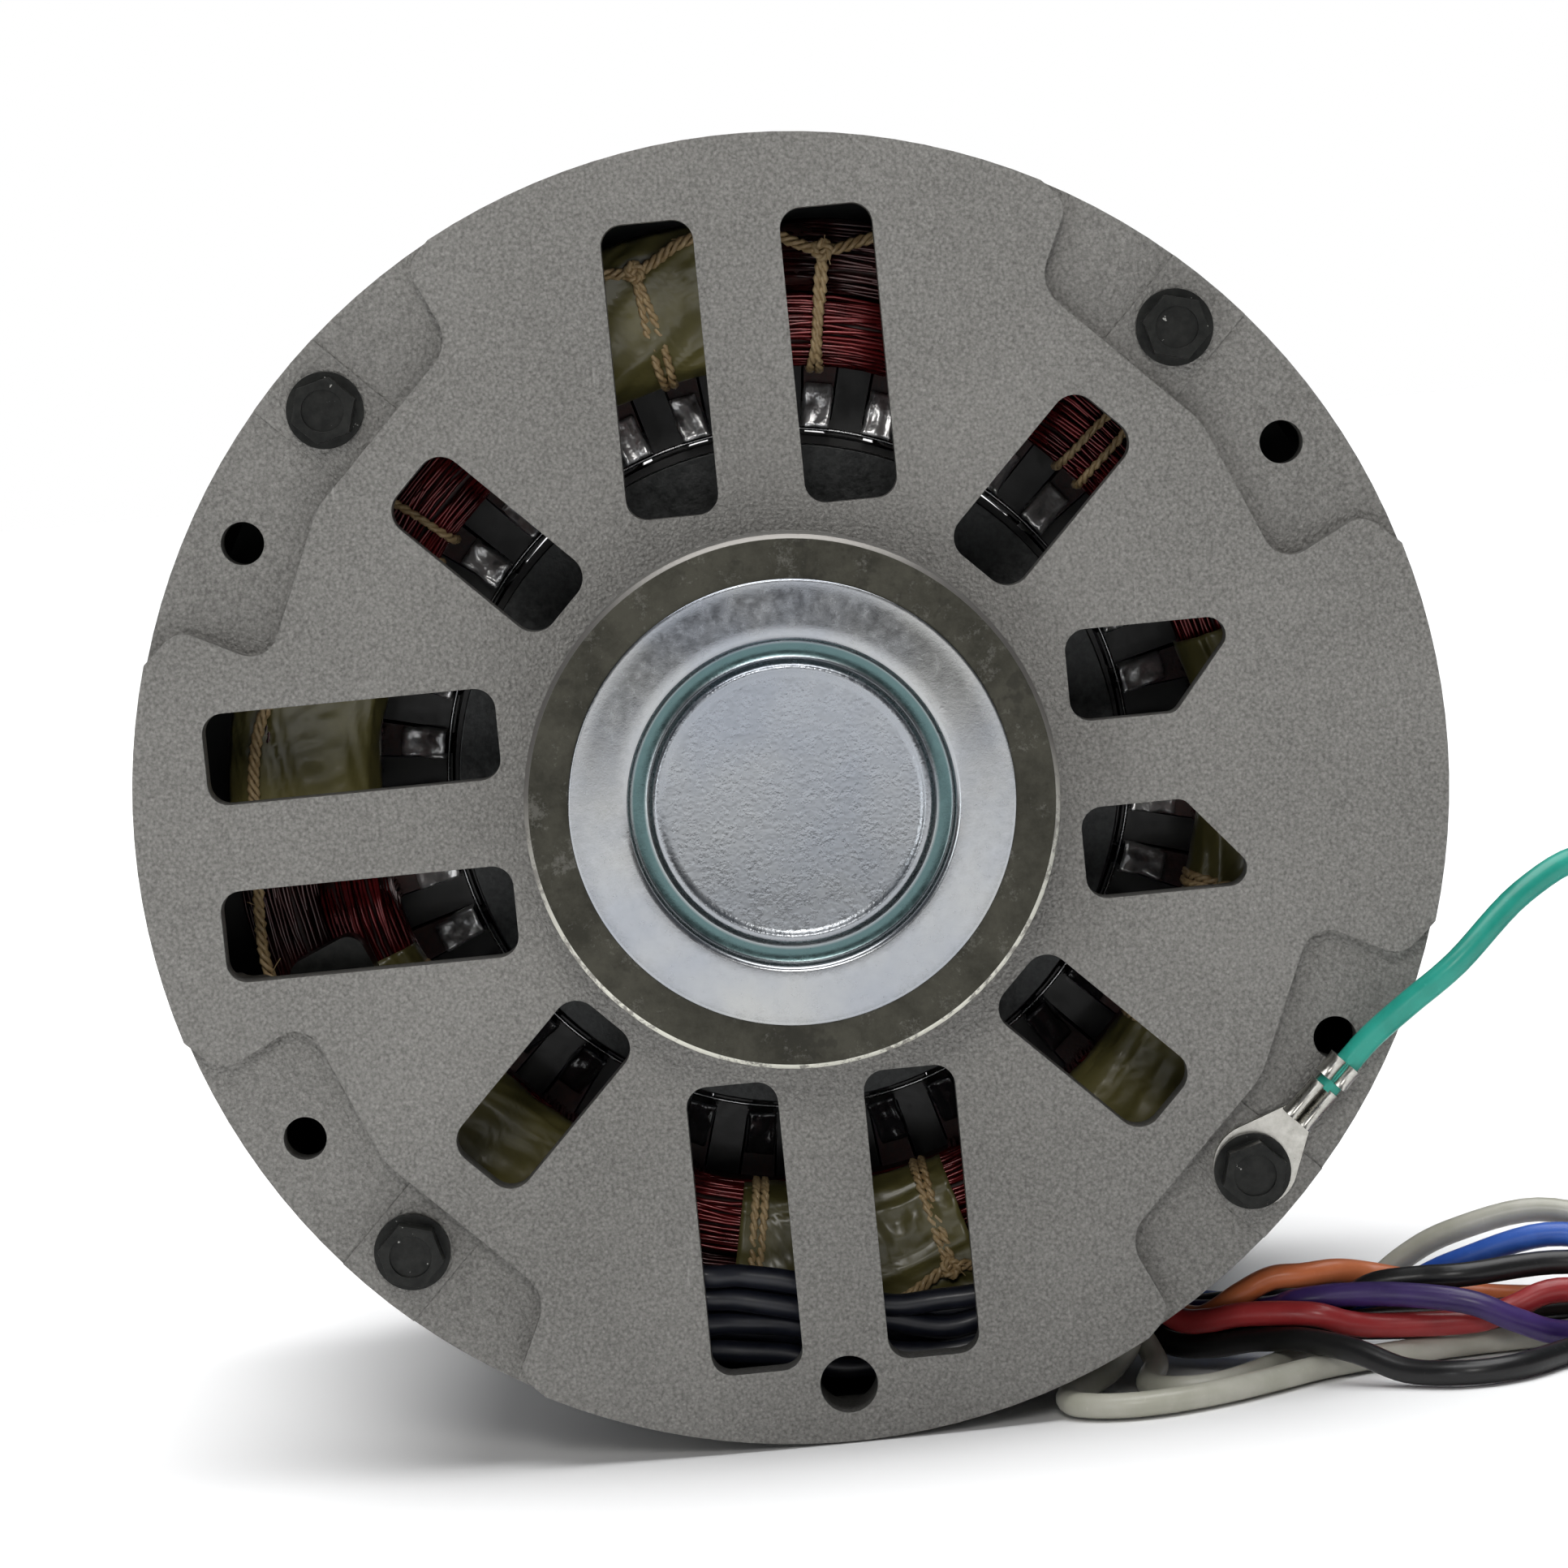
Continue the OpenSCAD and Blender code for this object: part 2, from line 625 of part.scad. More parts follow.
module rotor_core() {
    color([0.3, 0.3, 0.31]) lay_down() translate([0, 0, core_start]) linear_extrude(stack_length)
        difference() {
            circle(r = rotor_r);
            circle(r = shaft_r);
            for (i = [0 : bar_count - 1]) rotate(i * 360 / bar_count)
                translate([bar_circle_r, 0]) circle(r = bar_r, $fn = 24);
        }
}

// Die-cast cage: two end rings joined by the bars
module rotor_cage() {
    ring_r = [25, 37.5];
    color([0.6, 0.6, 0.6]) lay_down() {
        tube(ring_r[1], ring_r[0], core_end, core_end + end_ring_h);
        tube(ring_r[1], ring_r[0], core_start - end_ring_h, core_start);
        for (i = [0 : bar_count - 1]) rotate(i * 360 / bar_count)
            translate([bar_circle_r, 0, core_start - 1]) cylinder(r = bar_r, h = stack_length + 2, $fn = 24);
    }
}

module thrust_washers() {
    color([0.85, 0.84, 0.78]) lay_down() for (place = ring_places)
        let (start = place > frame_length / 2 ? place + ring_w : place - washer_t)
        tube(bearing_r, shaft_r, start, start + washer_t);
}

module retaining_rings() {
    color([0.35, 0.35, 0.36]) lay_down() for (place = ring_places)
        tube(9, groove_r, place, place + ring_w);
}

module shaft_slinger() {
    color([0.07, 0.07, 0.07]) lay_down() tube(11, groove_r, slinger_start - slinger_t, slinger_start);
}

// ---- Leads ----

// A smooth curve through the points of a route, with this many rings between two points
function curve_point(a, b, c, d, t) =
    0.5 * ((2 * b) + (c - a) * t + (2 * a - 5 * b + 4 * c - d) * t * t
        + (3 * b - a - 3 * c + d) * t * t * t);
function smooth_route(route, parts) = [
    for (i = [0 : len(route) - 2], k = [0 : parts - 1])
        curve_point(route[max(i - 1, 0)], route[i], route[i + 1], route[min(i + 2, len(route) - 1)],
            k / parts),
    route[len(route) - 1]
];

function ring_points(centre, ahead, r, sides) =
    let (
        side = unit(cross(ahead, [0.1, 0.3, 1])),
        up = cross(side, ahead)
    )
    [for (k = [0 : sides - 1])
        let (angle = (k + 0.5) * 360 / sides)
        centre + r * (cos(angle) * side + sin(angle) * up)];

// A closed tube swept along a route
module swept_tube(route, r, sides = 8, parts = 2) {
    path = smooth_route(route, parts);
    last = len(path) - 1;
    points = [for (i = [0 : last])
        each ring_points(path[i], unit(path[min(i + 1, last)] - path[max(i - 1, 0)]), r, sides)];
    walls = [for (i = [0 : last - 1], k = [0 : sides - 1])
        [i * sides + k, i * sides + (k + 1) % sides, (i + 1) * sides + (k + 1) % sides,
            (i + 1) * sides + k]];
    start = [[for (k = [0 : sides - 1]) sides - 1 - k]];
    end = [[for (k = [0 : sides - 1]) last * sides + k]];
    polyhedron(points, concat(walls, start, end), convexity = 6);
}

module lead(route, hue) color(hue) swept_tube(route, lead_d / 2);

module lead_orange() lead(ROUTE_ORANGE, [0.8, 0.36, 0.18]);
module lead_red() lead(ROUTE_RED, [0.5, 0.1, 0.13]);
module lead_brown_1() lead(ROUTE_BROWN_1, [0.22, 0.17, 0.16]);
module lead_brown_2() lead(ROUTE_BROWN_2, [0.2, 0.16, 0.16]);
module lead_purple() lead(ROUTE_PURPLE, [0.22, 0.14, 0.4]);
module lead_blue() lead(ROUTE_BLUE, [0.12, 0.3, 0.7]);
module lead_black_1() lead(ROUTE_BLACK_1, [0.06, 0.06, 0.06]);
module lead_black_2() lead(ROUTE_BLACK_2, [0.06, 0.06, 0.06]);
module lead_white_1() lead(ROUTE_WHITE_1, [0.68, 0.67, 0.6]);
module lead_white_2() lead(ROUTE_WHITE_2, [0.66, 0.65, 0.58]);
module lead_green() lead(ROUTE_GREEN, [0.1, 0.62, 0.52]);

// The outer shape of the coiled length, with the straight stretch that runs into it
module lead_coil() {
    height = coil_z[1] - coil_z[0];
    color([0.3, 0.25, 0.35]) {
        translate([coil_middle[0], coil_middle[1], 0]) tube(coil_outer_r, coil_inner_r, coil_z[0], coil_z[1]);
        translate([lead_in_x, lead_in_y[0], coil_z[0]])
            cube([coil_middle[0] - lead_in_x, lead_in_y[1] - lead_in_y[0], height]);
    }
}

// A flat tie round both turns of the coil
module coil_tie() {
    tie_t = 0.6;
    color([0.9, 0.9, 0.86]) translate([coil_middle[0], coil_middle[1], 0])
        rotate_extrude(angle = 9, start = 30) difference() {
            translate([coil_inner_r - tie_t, coil_z[0] - tie_t])
                square([coil_outer_r - coil_inner_r + 2 * tie_t, coil_z[1] - coil_z[0] + 2 * tie_t]);
            translate([coil_inner_r, coil_z[0]])
                square([coil_outer_r - coil_inner_r, coil_z[1] - coil_z[0]]);
        }
}

// Stripped, tinned ends of the eleven leads, standing out of the coil's inner side
module lead_tips() {
    tip_count = 11;
    tip_l = 9;
    first_tip = 186;
    tip_step = 5;
    color([0.78, 0.76, 0.72]) translate([coil_middle[0], coil_middle[1], 0])
        for (i = [0 : tip_count - 1]) rotate(first_tip + tip_step * i)
            translate([coil_inner_r, 0, i % 2 == 0 ? -69.4 : -66.9]) rotate([0, -90, -45])
                cylinder(d = 1.2, h = tip_l, $fn = 24);
}

lead_end_shield();
shaft_end_shield();
shell();
stator_core();
slot_wedges();
slot_conductors();
main_winding_lead_end();
main_winding_shaft_end();
start_winding_lead_end();
start_winding_shaft_end();
phase_insulation_lead_end();
phase_insulation_shaft_end();
lacing_lead_end();
lacing_shaft_end();
internal_leads();
thermal_protector();
through_bolts();
bolt_nuts();
lead_end_bearing();
shaft_end_bearing();
lead_end_wick();
shaft_end_wick();
lead_end_retainer();
shaft_end_retainer();
lead_end_cap();
shaft_end_cap();
lead_grommet();
ground_terminal();
data_plate();
rotor_shaft();
rotor_core();
rotor_cage();
thrust_washers();
retaining_rings();
shaft_slinger();
lead_orange();
lead_red();
lead_brown_1();
lead_brown_2();
lead_purple();
lead_blue();
lead_black_1();
lead_black_2();
lead_white_1();
lead_white_2();
lead_green();
lead_coil();
lead_tips();
coil_tie();
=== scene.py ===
"""Looks of an open direct-drive fan motor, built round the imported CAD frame. Metres, row frame."""
import math
import random

import bmesh
import bpy
from mathutils import Matrix, Vector, noise


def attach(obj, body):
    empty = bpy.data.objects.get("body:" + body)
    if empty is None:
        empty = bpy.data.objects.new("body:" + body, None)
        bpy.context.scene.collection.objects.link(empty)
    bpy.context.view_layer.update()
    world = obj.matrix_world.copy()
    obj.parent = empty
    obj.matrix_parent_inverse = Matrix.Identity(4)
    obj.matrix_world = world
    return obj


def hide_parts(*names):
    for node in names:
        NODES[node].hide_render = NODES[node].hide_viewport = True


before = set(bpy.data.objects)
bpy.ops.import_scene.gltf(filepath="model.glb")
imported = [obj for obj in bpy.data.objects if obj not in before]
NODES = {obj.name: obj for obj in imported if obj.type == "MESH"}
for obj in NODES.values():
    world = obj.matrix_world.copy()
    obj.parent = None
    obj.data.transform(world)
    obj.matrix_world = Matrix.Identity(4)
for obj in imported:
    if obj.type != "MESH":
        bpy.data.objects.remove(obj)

MM = 0.001
BODY = "stator"
SCENE = bpy.context.scene
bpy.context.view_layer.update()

# Places along the shaft, in millimetres in front of the shaft-end shield's face
FRAME_LENGTH = 112.0
FRAME_R = 71.45
CORE_END = 75.0
CROWN = 19.5
SLOT_COUNT = 36
BORE_R = 38.7
TABLE_Z = -FRAME_R


def at(radius, angle, s):
    """The point at this radius and angle about the shaft, s in front of the shaft-end face."""
    turn = math.radians(angle)
    return Vector((radius * math.cos(turn), -s, radius * math.sin(turn))) * MM


def add_object(name, data):
    """A new object in the scene."""
    piece = bpy.data.objects.new(name, data)
    SCENE.collection.objects.link(piece)
    return piece


# ---- Camera ----

FACE_MIDDLE = Vector((0, -FRAME_LENGTH, 0)) * MM
CAMERA_DISTANCE = 0.6
CAMERA_PITCH = math.radians(4.5)
CAMERA_ROLL = math.radians(5.6)
FRAME_PIXELS = 1932


def make_camera():
    """Looks at the lead-end face from a little above the shaft, as far off as the lens needs."""
    data = bpy.data.cameras.new("camera")
    data.lens = 127
    data.sensor_width = 36
    data.shift_x = -9 / FRAME_PIXELS
    data.shift_y = 12 / FRAME_PIXELS
    data.clip_start = 0.01
    data.clip_end = 50
    camera = add_object("camera", data)
    back = Vector((0, -math.cos(CAMERA_PITCH), math.sin(CAMERA_PITCH)))
    right = Vector((1, 0, 0))
    up = back.cross(right)
    rolled_up = up * math.cos(CAMERA_ROLL) + right * math.sin(CAMERA_ROLL)
    rolled_right = rolled_up.cross(back)
    turn = Matrix((rolled_right, rolled_up, back)).transposed()
    camera.matrix_world = Matrix.Translation(FACE_MIDDLE + back * CAMERA_DISTANCE) @ turn.to_4x4()
    SCENE.camera = camera


make_camera()

# ---- Leads ----

LEAD_D = 2.8
COIL_MIDDLE = (150.0, -41.0)
COIL_INNER_R = 24.0
TURN_PITCH = 11.8
FIRST_TIP = 186.0
TIP_STEP = 5.0

# Route points in millimetres, from the outlet to the coil
ROUTES = {
    "orange": [
        (35.5, -88, -62.5), (36.6, -88.6, -64.2), (38.4, -89.7, -65.2), (41, -91.4, -65.2),
        (45, -93.8, -62.6), (48.5, -93.8, -61.2), (52, -93.8, -61.2), (56, -92.6, -61.3),
        (60, -91.3, -62.3), (65, -92.8, -63.6), (70, -93, -65.3), (80, -91.2, -66.9), (90, -91, -67),
        (102, -90, -66.9)],
    "red": [
        (35.5, -91.4, -62.5), (36.6, -92, -64.2), (38.4, -93.1, -65.2), (41, -94.8, -65.1),
        (45, -97, -64.4), (52, -100.3, -64.5), (56, -100.2, -65.9), (60, -99.5, -66.7),
        (70, -99.5, -67.2), (74.5, -98.8, -66.3), (80, -98.3, -64.9), (90, -97.3, -66.5),
        (102, -96, -66.9)],
    "brown_1": [
        (31.9, -83, -64.3), (33.3, -83.8, -66.4), (37, -86.6, -68.2), (41, -89.5, -68.4),
        (45, -92.5, -67.6), (51, -97.3, -66.9), (60, -96, -66.6), (70, -95.8, -67), (80, -94.5, -67),
        (90, -94.2, -67.1), (102, -93, -66.9)],
    "brown_2": [
        (31.9, -79.6, -64.3), (33.3, -80.4, -66.4), (37, -83, -68.2), (41, -85.8, -68.4),
        (45, -88.6, -68.3), (51, -93.2, -67.1), (54, -93.4, -67.4), (60, -92.4, -68.2),
        (70, -92.3, -69), (80, -91.5, -69.9), (90, -90.2, -69.9), (102, -88.5, -69.4)],
    "purple": [
        (35.5, -84.6, -62.5), (36.6, -85.2, -64.2), (38.4, -86.3, -65.2), (41, -88, -65.3),
        (45, -90.7, -65), (48.5, -93.9, -64.5), (52, -97.2, -63.3), (60, -99.2, -63.2),
        (69, -102.2, -64.4), (74.5, -102.6, -67), (80, -100.7, -69.3), (90, -96.4, -70),
        (102, -94.5, -69.4)],
    "blue": [
        (35.5, -77.9, -62.5), (36.6, -78.5, -64.2), (38.4, -79.6, -65.2), (41, -81.2, -65.3),
        (45, -83.6, -65.6), (52, -88.3, -65.6), (56, -90, -65.2), (60, -90, -65.8), (65, -89.2, -64),
        (70, -90.3, -62), (80, -92, -59.6), (90, -94, -61.5), (102, -94.5, -64.4)],
    "black_1": [
        (35.5, -81.2, -62.5), (36.6, -81.8, -64.2), (38.4, -82.9, -65.2), (41, -84.6, -65.2),
        (45, -87.1, -64.7), (52, -91.9, -64.4), (56, -94.8, -64.2), (60, -95.8, -62.6),
        (65, -96.5, -62.3), (70, -97.3, -62.3), (80, -95.5, -62.2), (90, -96.8, -63.3),
        (102, -97.5, -64.4)],
    "black_2": [
        (31.9, -86.4, -64.3), (33.3, -87.3, -66.4), (37, -90.2, -68.2), (41, -93.4, -68.3),
        (45, -96.9, -67.4), (48, -99.6, -67.1), (51, -102.3, -67), (56, -106.9, -67.9),
        (61, -111, -69.8), (67, -114.5, -70), (73, -113.5, -70), (79, -108, -70), (84.5, -103, -70),
        (90, -99.6, -69.9), (102, -97.5, -69.4)],
    "white_1": [
        (31.9, -93, -64.3), (31.8, -94.4, -66.8), (29.3, -97.2, -69.2), (26, -101.5, -69.9),
        (24, -106, -70), (24.7, -111, -70), (29, -114, -70), (34.5, -114, -70), (41, -111.3, -70),
        (47, -107.2, -70), (53, -102.8, -70), (61, -99.5, -70), (70, -97.5, -70), (80, -96.5, -70),
        (90, -93.3, -70), (102, -91.5, -69.4)],
    "white_2": [
        (31.9, -89.8, -64.3), (33.5, -91.3, -66.9), (34.6, -94.8, -69.3), (33.6, -99.5, -69.9),
        (33.2, -103.5, -70), (35.2, -107, -70), (39, -108, -70), (43, -105.2, -70), (49, -97.5, -70),
        (52.5, -92.5, -70), (56, -88.4, -68.5), (59.5, -86, -65.5), (64, -85.4, -62), (70, -86, -59.2),
        (80, -87, -57.5), (90, -89.5, -60.3), (102, -91.5, -64.4)],
    "green": [
        (57.7, -111.4, -35.1), (60.4, -112.3, -32.4), (64.5, -114.3, -29), (70, -115, -25),
        (78, -112, -18.5), (86, -109, -15.5), (94, -106, -19), (101, -102, -28), (107, -98, -40),
        (113, -94, -52), (120, -90.5, -60.5), (128, -88.7, -64.4)],
}

# The order in which the leads leave the coil's inner side, innermost first
TIP_ORDER = ["brown_2", "green", "orange", "white_2", "white_1", "brown_1", "purple", "blue", "red",
             "black_1", "black_2"]


def smooth(points, parts):
    """A Catmull-Rom curve through the points, with this many steps between two points."""
    points = [Vector(p) for p in points]
    last = len(points) - 1
    out = []
    for i in range(last):
        a, b = points[max(i - 1, 0)], points[i]
        c, d = points[i + 1], points[min(i + 2, last)]
        for k in range(parts):
            t = k / parts
            out.append(0.5 * (2 * b + (c - a) * t + (2 * a - 5 * b + 4 * c - d) * t ** 2
                              + (3 * b - a - 3 * c + d) * t ** 3))
    out.append(points[last])
    return out


def coil_route(start, tip):
    """From the end of a route, straight to the coil, round its turns, and in to the lead's tip."""
    middle_x, middle_y = COIL_MIDDLE
    first_r = middle_y - start[1]
    tip_angle = FIRST_TIP + TIP_STEP * tip
    tip_z = -69.4 if tip % 2 == 0 else -66.9
    turned = tip_angle + 720 - 270
    last_r = first_r - TURN_PITCH * turned / 360
    drop = last_r - COIL_INNER_R
    run_in = math.degrees(2.4 * drop / (last_r - drop / 2))
    points = [Vector((x, start[1], start[2])) for x in (126, 138) if x > start[0] + 6]
    steps = 44
    for i in range(steps + 1):
        theta = (turned - run_in) * i / steps
        radius = first_r - TURN_PITCH * theta / 360
        turn = math.radians(270 + theta)
        points.append(Vector((middle_x + radius * math.cos(turn), middle_y + radius * math.sin(turn),
                              start[2])))
    left = points[-1]
    ahead = (points[-1] - points[-2]).normalized()
    turn = math.radians(tip_angle)
    outward = Vector((math.cos(turn), math.sin(turn), 0))
    along = Vector((-math.sin(turn), math.cos(turn), 0))
    tip_start = Vector((middle_x, middle_y, tip_z)) + outward * COIL_INNER_R
    inward = (along - outward).normalized()
    reach = (tip_start - left).length
    for i in range(1, 7):
        t = i / 6
        points.append(left * (2 * t ** 3 - 3 * t ** 2 + 1) + ahead * reach * (t ** 3 - 2 * t ** 2 + t)
                      + tip_start * (3 * t ** 2 - 2 * t ** 3) + inward * reach * (t ** 3 - t ** 2))
    return points


def new_curve(name, splines, radius, resolution=4, cyclic=False):
    """A curve object whose splines are lists of points in metres."""
    data = bpy.data.curves.new(name, "CURVE")
    data.dimensions = "3D"
    data.bevel_depth = 1.0
    data.bevel_resolution = resolution
    data.use_fill_caps = True
    for points in splines:
        spline = data.splines.new("POLY")
        spline.points.add(len(points) - 1)
        for target, point in zip(spline.points, points):
            target.co = (*point, 1)
            target.radius = radius
        spline.use_cyclic_u = cyclic
        spline.use_smooth = True
    return add_object(name, data)


OUTLET_AXIS = Vector((math.cos(math.radians(298)), 0, math.sin(math.radians(298))))
TERMINAL_AXIS = Vector((math.cos(math.radians(44.3)), 0, math.sin(math.radians(44.3))))


def make_leads():
    """The eleven insulated leads, each one curve from its exit to its stripped tip."""
    leads = {}
    for colour, route in ROUTES.items():
        points = [Vector(p) for p in route]
        inside = TERMINAL_AXIS * 4.1 if colour == "green" else OUTLET_AXIS * 3
        points.insert(0, points[0] - inside)
        points += coil_route(route[-1], TIP_ORDER.index(colour))
        line = [p * MM for p in smooth(points, 6)]
        lead = new_curve("insulated_lead_" + colour, [line], LEAD_D / 2 * MM, 5)
        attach(lead, BODY)
        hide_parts("lead_" + colour)
        leads[colour] = lead
    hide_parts("lead_coil")
    return leads


LEADS = make_leads()

# ---- Materials ----


class Paint:
    """One material's nodes; each method adds to them. Texture sizes are in features per metre."""

    def __init__(self, name):
        self.material = bpy.data.materials.new(name)
        self.material.use_nodes = True
        self.tree = self.material.node_tree
        self.shader = self.tree.nodes["Principled BSDF"]
        self.place = self.add("ShaderNodeTexCoord", output="Object")

    def feed(self, value, socket):
        if isinstance(value, bpy.types.NodeSocket):
            self.tree.links.new(value, socket)
        elif socket.type == "RGBA" and len(value) == 3:
            socket.default_value = (*value, 1)
        else:
            socket.default_value = value

    def add(self, kind, inputs=None, output=0, **settings):
        node = self.tree.nodes.new(kind)
        for key, value in settings.items():
            setattr(node, key, value)
        for key, value in (inputs or {}).items():
            self.feed(value, node.inputs[key])
        return node.outputs[output]

    def math(self, operation, a, b=0.0):
        return self.add("ShaderNodeMath", {0: a, 1: b}, operation=operation)

    def times(self, a, b):
        return self.math("MULTIPLY", a, b)

    def noise(self, scale, detail=3.0, roughness=0.55, place=None):
        inputs = {"Vector": place or self.place, "Scale": scale, "Detail": detail, "Roughness": roughness}
        return self.add("ShaderNodeTexNoise", inputs)

    def cells(self, scale, place=None):
        return self.add("ShaderNodeTexVoronoi", {"Vector": place or self.place, "Scale": scale})

    def stretched(self, scale):
        return self.add("ShaderNodeMapping", {"Vector": self.place, "Scale": scale})

    def ramp(self, value, low, high, start=0.0, end=1.0):
        inputs = {"Value": value, "From Min": low, "From Max": high, "To Min": start, "To Max": end}
        return self.add("ShaderNodeMapRange", inputs, clamp=True)

    def mix(self, factor, a, b):
        """Mixes two colours."""
        return self.add("ShaderNodeMix", {0: factor, 6: a, 7: b}, 2, data_type="RGBA")

    def blend(self, factor, a, b):
        """Mixes two plain numbers."""
        return self.add("ShaderNodeMix", {0: factor, 2: a, 3: b})

    def bump(self, height, distance, strength=1.0, normal=None):
        inputs = {"Height": height, "Distance": distance, "Strength": strength}
        if normal:
            inputs["Normal"] = normal
        return self.add("ShaderNodeBump", inputs)

    def axis_distance(self):
        """Distance from the shaft axis, in metres."""
        squares = [self.math("POWER", self.along(index), 2.0) for index in (0, 2)]
        return self.math("SQRT", self.math("ADD", *squares))

    def along(self, index):
        """One coordinate of the place: 0, 1 or 2 for X, Y or Z."""
        return self.add("ShaderNodeSeparateXYZ", {0: self.place}, index)

    def done(self, **inputs):
        for key, value in inputs.items():
            self.feed(value, self.shader.inputs[key.replace("_", " ")])
        return self.material


def inside(paint, value, low, high, soft=0.00005):
    """1 where value lies between low and high, with soft edges."""
    rise = paint.ramp(value, low - soft, low + soft)
    fall = paint.ramp(value, high - soft, high + soft, 1.0, 0.0)
    return paint.times(rise, fall)


def turned_hub(paint, cast):
    """The hubs' turned faces and chipped chamfers over the casting, the chamfers with painted shade towards
    the top and a painted highlight below: colour, and 1 where it is turned.
    """
    distance = paint.axis_distance()
    height = paint.along(1)
    at_hub_face = paint.math("ADD", inside(paint, height, -0.1243, -0.12385),
                             inside(paint, height, 0.01185, 0.0123))
    face = paint.times(at_hub_face, paint.ramp(distance, 0.02805, 0.0281, 1.0, 0.0))
    at_chamfer = paint.math("ADD", inside(paint, height, -0.1243, -0.1232),
                            inside(paint, height, 0.0112, 0.0123))
    chamfer = paint.times(at_chamfer, paint.ramp(distance, 0.02805, 0.0281))
    chipped = paint.ramp(paint.noise(420, 5, 0.75), 0.5, 0.58)
    chamfer_chips_and_painted_light = paint.mix(chipped, (0.78, 0.77, 0.68), (0.3, 0.29, 0.26))
    # Painted light: the chamfer fades to dark grey towards the top as shade, and stays bright cream below as
    # a highlight.
    chamfer_chips_and_painted_light = paint.mix(paint.ramp(paint.along(2), -0.022, 0.004), chamfer_chips_and_painted_light, (0.17, 0.162, 0.15))
    tone = paint.ramp(paint.noise(80, 6, 0.8), 0.4, 0.6)
    turned = paint.mix(tone, (0.026, 0.025, 0.018), (0.052, 0.05, 0.038))
    scuff = paint.ramp(paint.noise(260, 5, 0.85), 0.56, 0.66)
    turned = paint.mix(paint.times(scuff, 0.4), turned, (0.17, 0.165, 0.15))
    stain = paint.ramp(paint.noise(75, 5, 0.85), 0.58, 0.62)
    turned = paint.mix(paint.times(stain, 0.6), turned, (0.022, 0.021, 0.016))
    colour = paint.mix(chamfer, paint.mix(face, cast, turned), chamfer_chips_and_painted_light)
    return colour, paint.math("MAXIMUM", face, chamfer)


def cast_aluminium():
    """Blasted casting: grainy, with faint clouds, dark spots and bright scratches."""
    paint = Paint("cast_aluminium")
    grain = paint.noise(2600, 3, 0.75)
    speck = paint.cells(2300)
    cloud = paint.noise(26, 5, 0.6)
    spots = paint.ramp(paint.noise(210, 4, 0.8), 0.7, 0.8)
    marks = paint.ramp(paint.noise(1.0, 3, 0.6, paint.stretched((700, 700, 90))), 0.72, 0.8)
    shade = paint.math("ADD", paint.ramp(grain, 0.3, 0.7, -0.5, 0.5), paint.ramp(speck, 0.1, 0.7, 0.3, -0.3))
    shade = paint.math("ADD", shade, paint.ramp(cloud, 0.3, 0.7, -0.2, 0.2))
    cast = paint.mix(paint.ramp(shade, -0.8, 0.8), (0.11, 0.107, 0.1), (0.288, 0.282, 0.266))
    cast = paint.mix(paint.times(spots, 0.4), cast, (0.06, 0.058, 0.054))
    cast = paint.mix(paint.times(marks, 0.3), cast, (0.5, 0.49, 0.47))
    colour, smooth_part = turned_hub(paint, cast)
    rough = paint.blend(smooth_part, 0.52, 0.4)
    bump_size = paint.blend(smooth_part, 1.0, 0.1)
    pits = paint.math("ADD", grain, paint.times(speck, -0.5))
    relief = paint.bump(paint.times(pits, bump_size), 0.00016, 0.8)
    return paint.done(Base_Color=colour, Metallic=0.72, Roughness=rough, Normal=relief)


def zinc_plate():
    """Zinc plate: bluish, teal down in the groove, and pebbled on the disc."""
    paint = Paint("zinc_plate")
    distance = paint.axis_distance()
    disc = paint.ramp(distance, 0.0146, 0.0152, 1.0, 0.0)
    groove = inside(paint, distance, 0.0156, 0.0171, 0.0002)
    tone = paint.noise(45, 4, 0.6)
    base = paint.mix(paint.ramp(tone, 0.35, 0.65), (0.29, 0.31, 0.345), (0.38, 0.385, 0.38))
    base = paint.mix(paint.times(groove, 0.9), base, (0.055, 0.115, 0.118))
    base = paint.mix(paint.times(disc, 0.5), base, (0.23, 0.25, 0.28))
    pebble = paint.noise(2100, 3, 0.5)
    fine = paint.noise(5200, 3, 0.6)
    dents = paint.ramp(paint.noise(320, 3, 0.6), 0.68, 0.76)
    height = paint.times(pebble, paint.blend(disc, 0.12, 1.0))
    relief = paint.bump(height, 0.00006, 0.8)
    relief = paint.bump(fine, 0.00001, 0.5, relief)
    relief = paint.bump(dents, 0.00002, 0.4, relief)
    rough = paint.blend(disc, 0.22, 0.26)
    rough = paint.math("ADD", rough, paint.ramp(paint.noise(800, 4, 0.7), 0.3, 0.7, -0.05, 0.08))
    return paint.done(Base_Color=base, Metallic=1.0, Roughness=rough, Normal=relief)


def metal(name, dark, light, rough, scale=1500.0, depth=0.00002, metallic=1.0, stretch=None):
    """A metal with fine mottling; stretch draws its marks out along an axis."""
    paint = Paint(name)
    place = paint.stretched(stretch) if stretch else None
    mottle = paint.noise(1.0 if stretch else scale, 4, 0.65, place)
    cloud = paint.noise(90, 4, 0.6)
    factor = paint.math("ADD", paint.times(mottle, 0.6), paint.times(cloud, 0.4))
    colour = paint.mix(paint.ramp(factor, 0.35, 0.65), dark, light)
    shine = paint.ramp(factor, 0.3, 0.7, rough - 0.07, rough + 0.09)
    relief = paint.bump(mottle, depth, 0.6)
    return paint.done(Base_Color=colour, Metallic=metallic, Roughness=shine, Normal=relief)


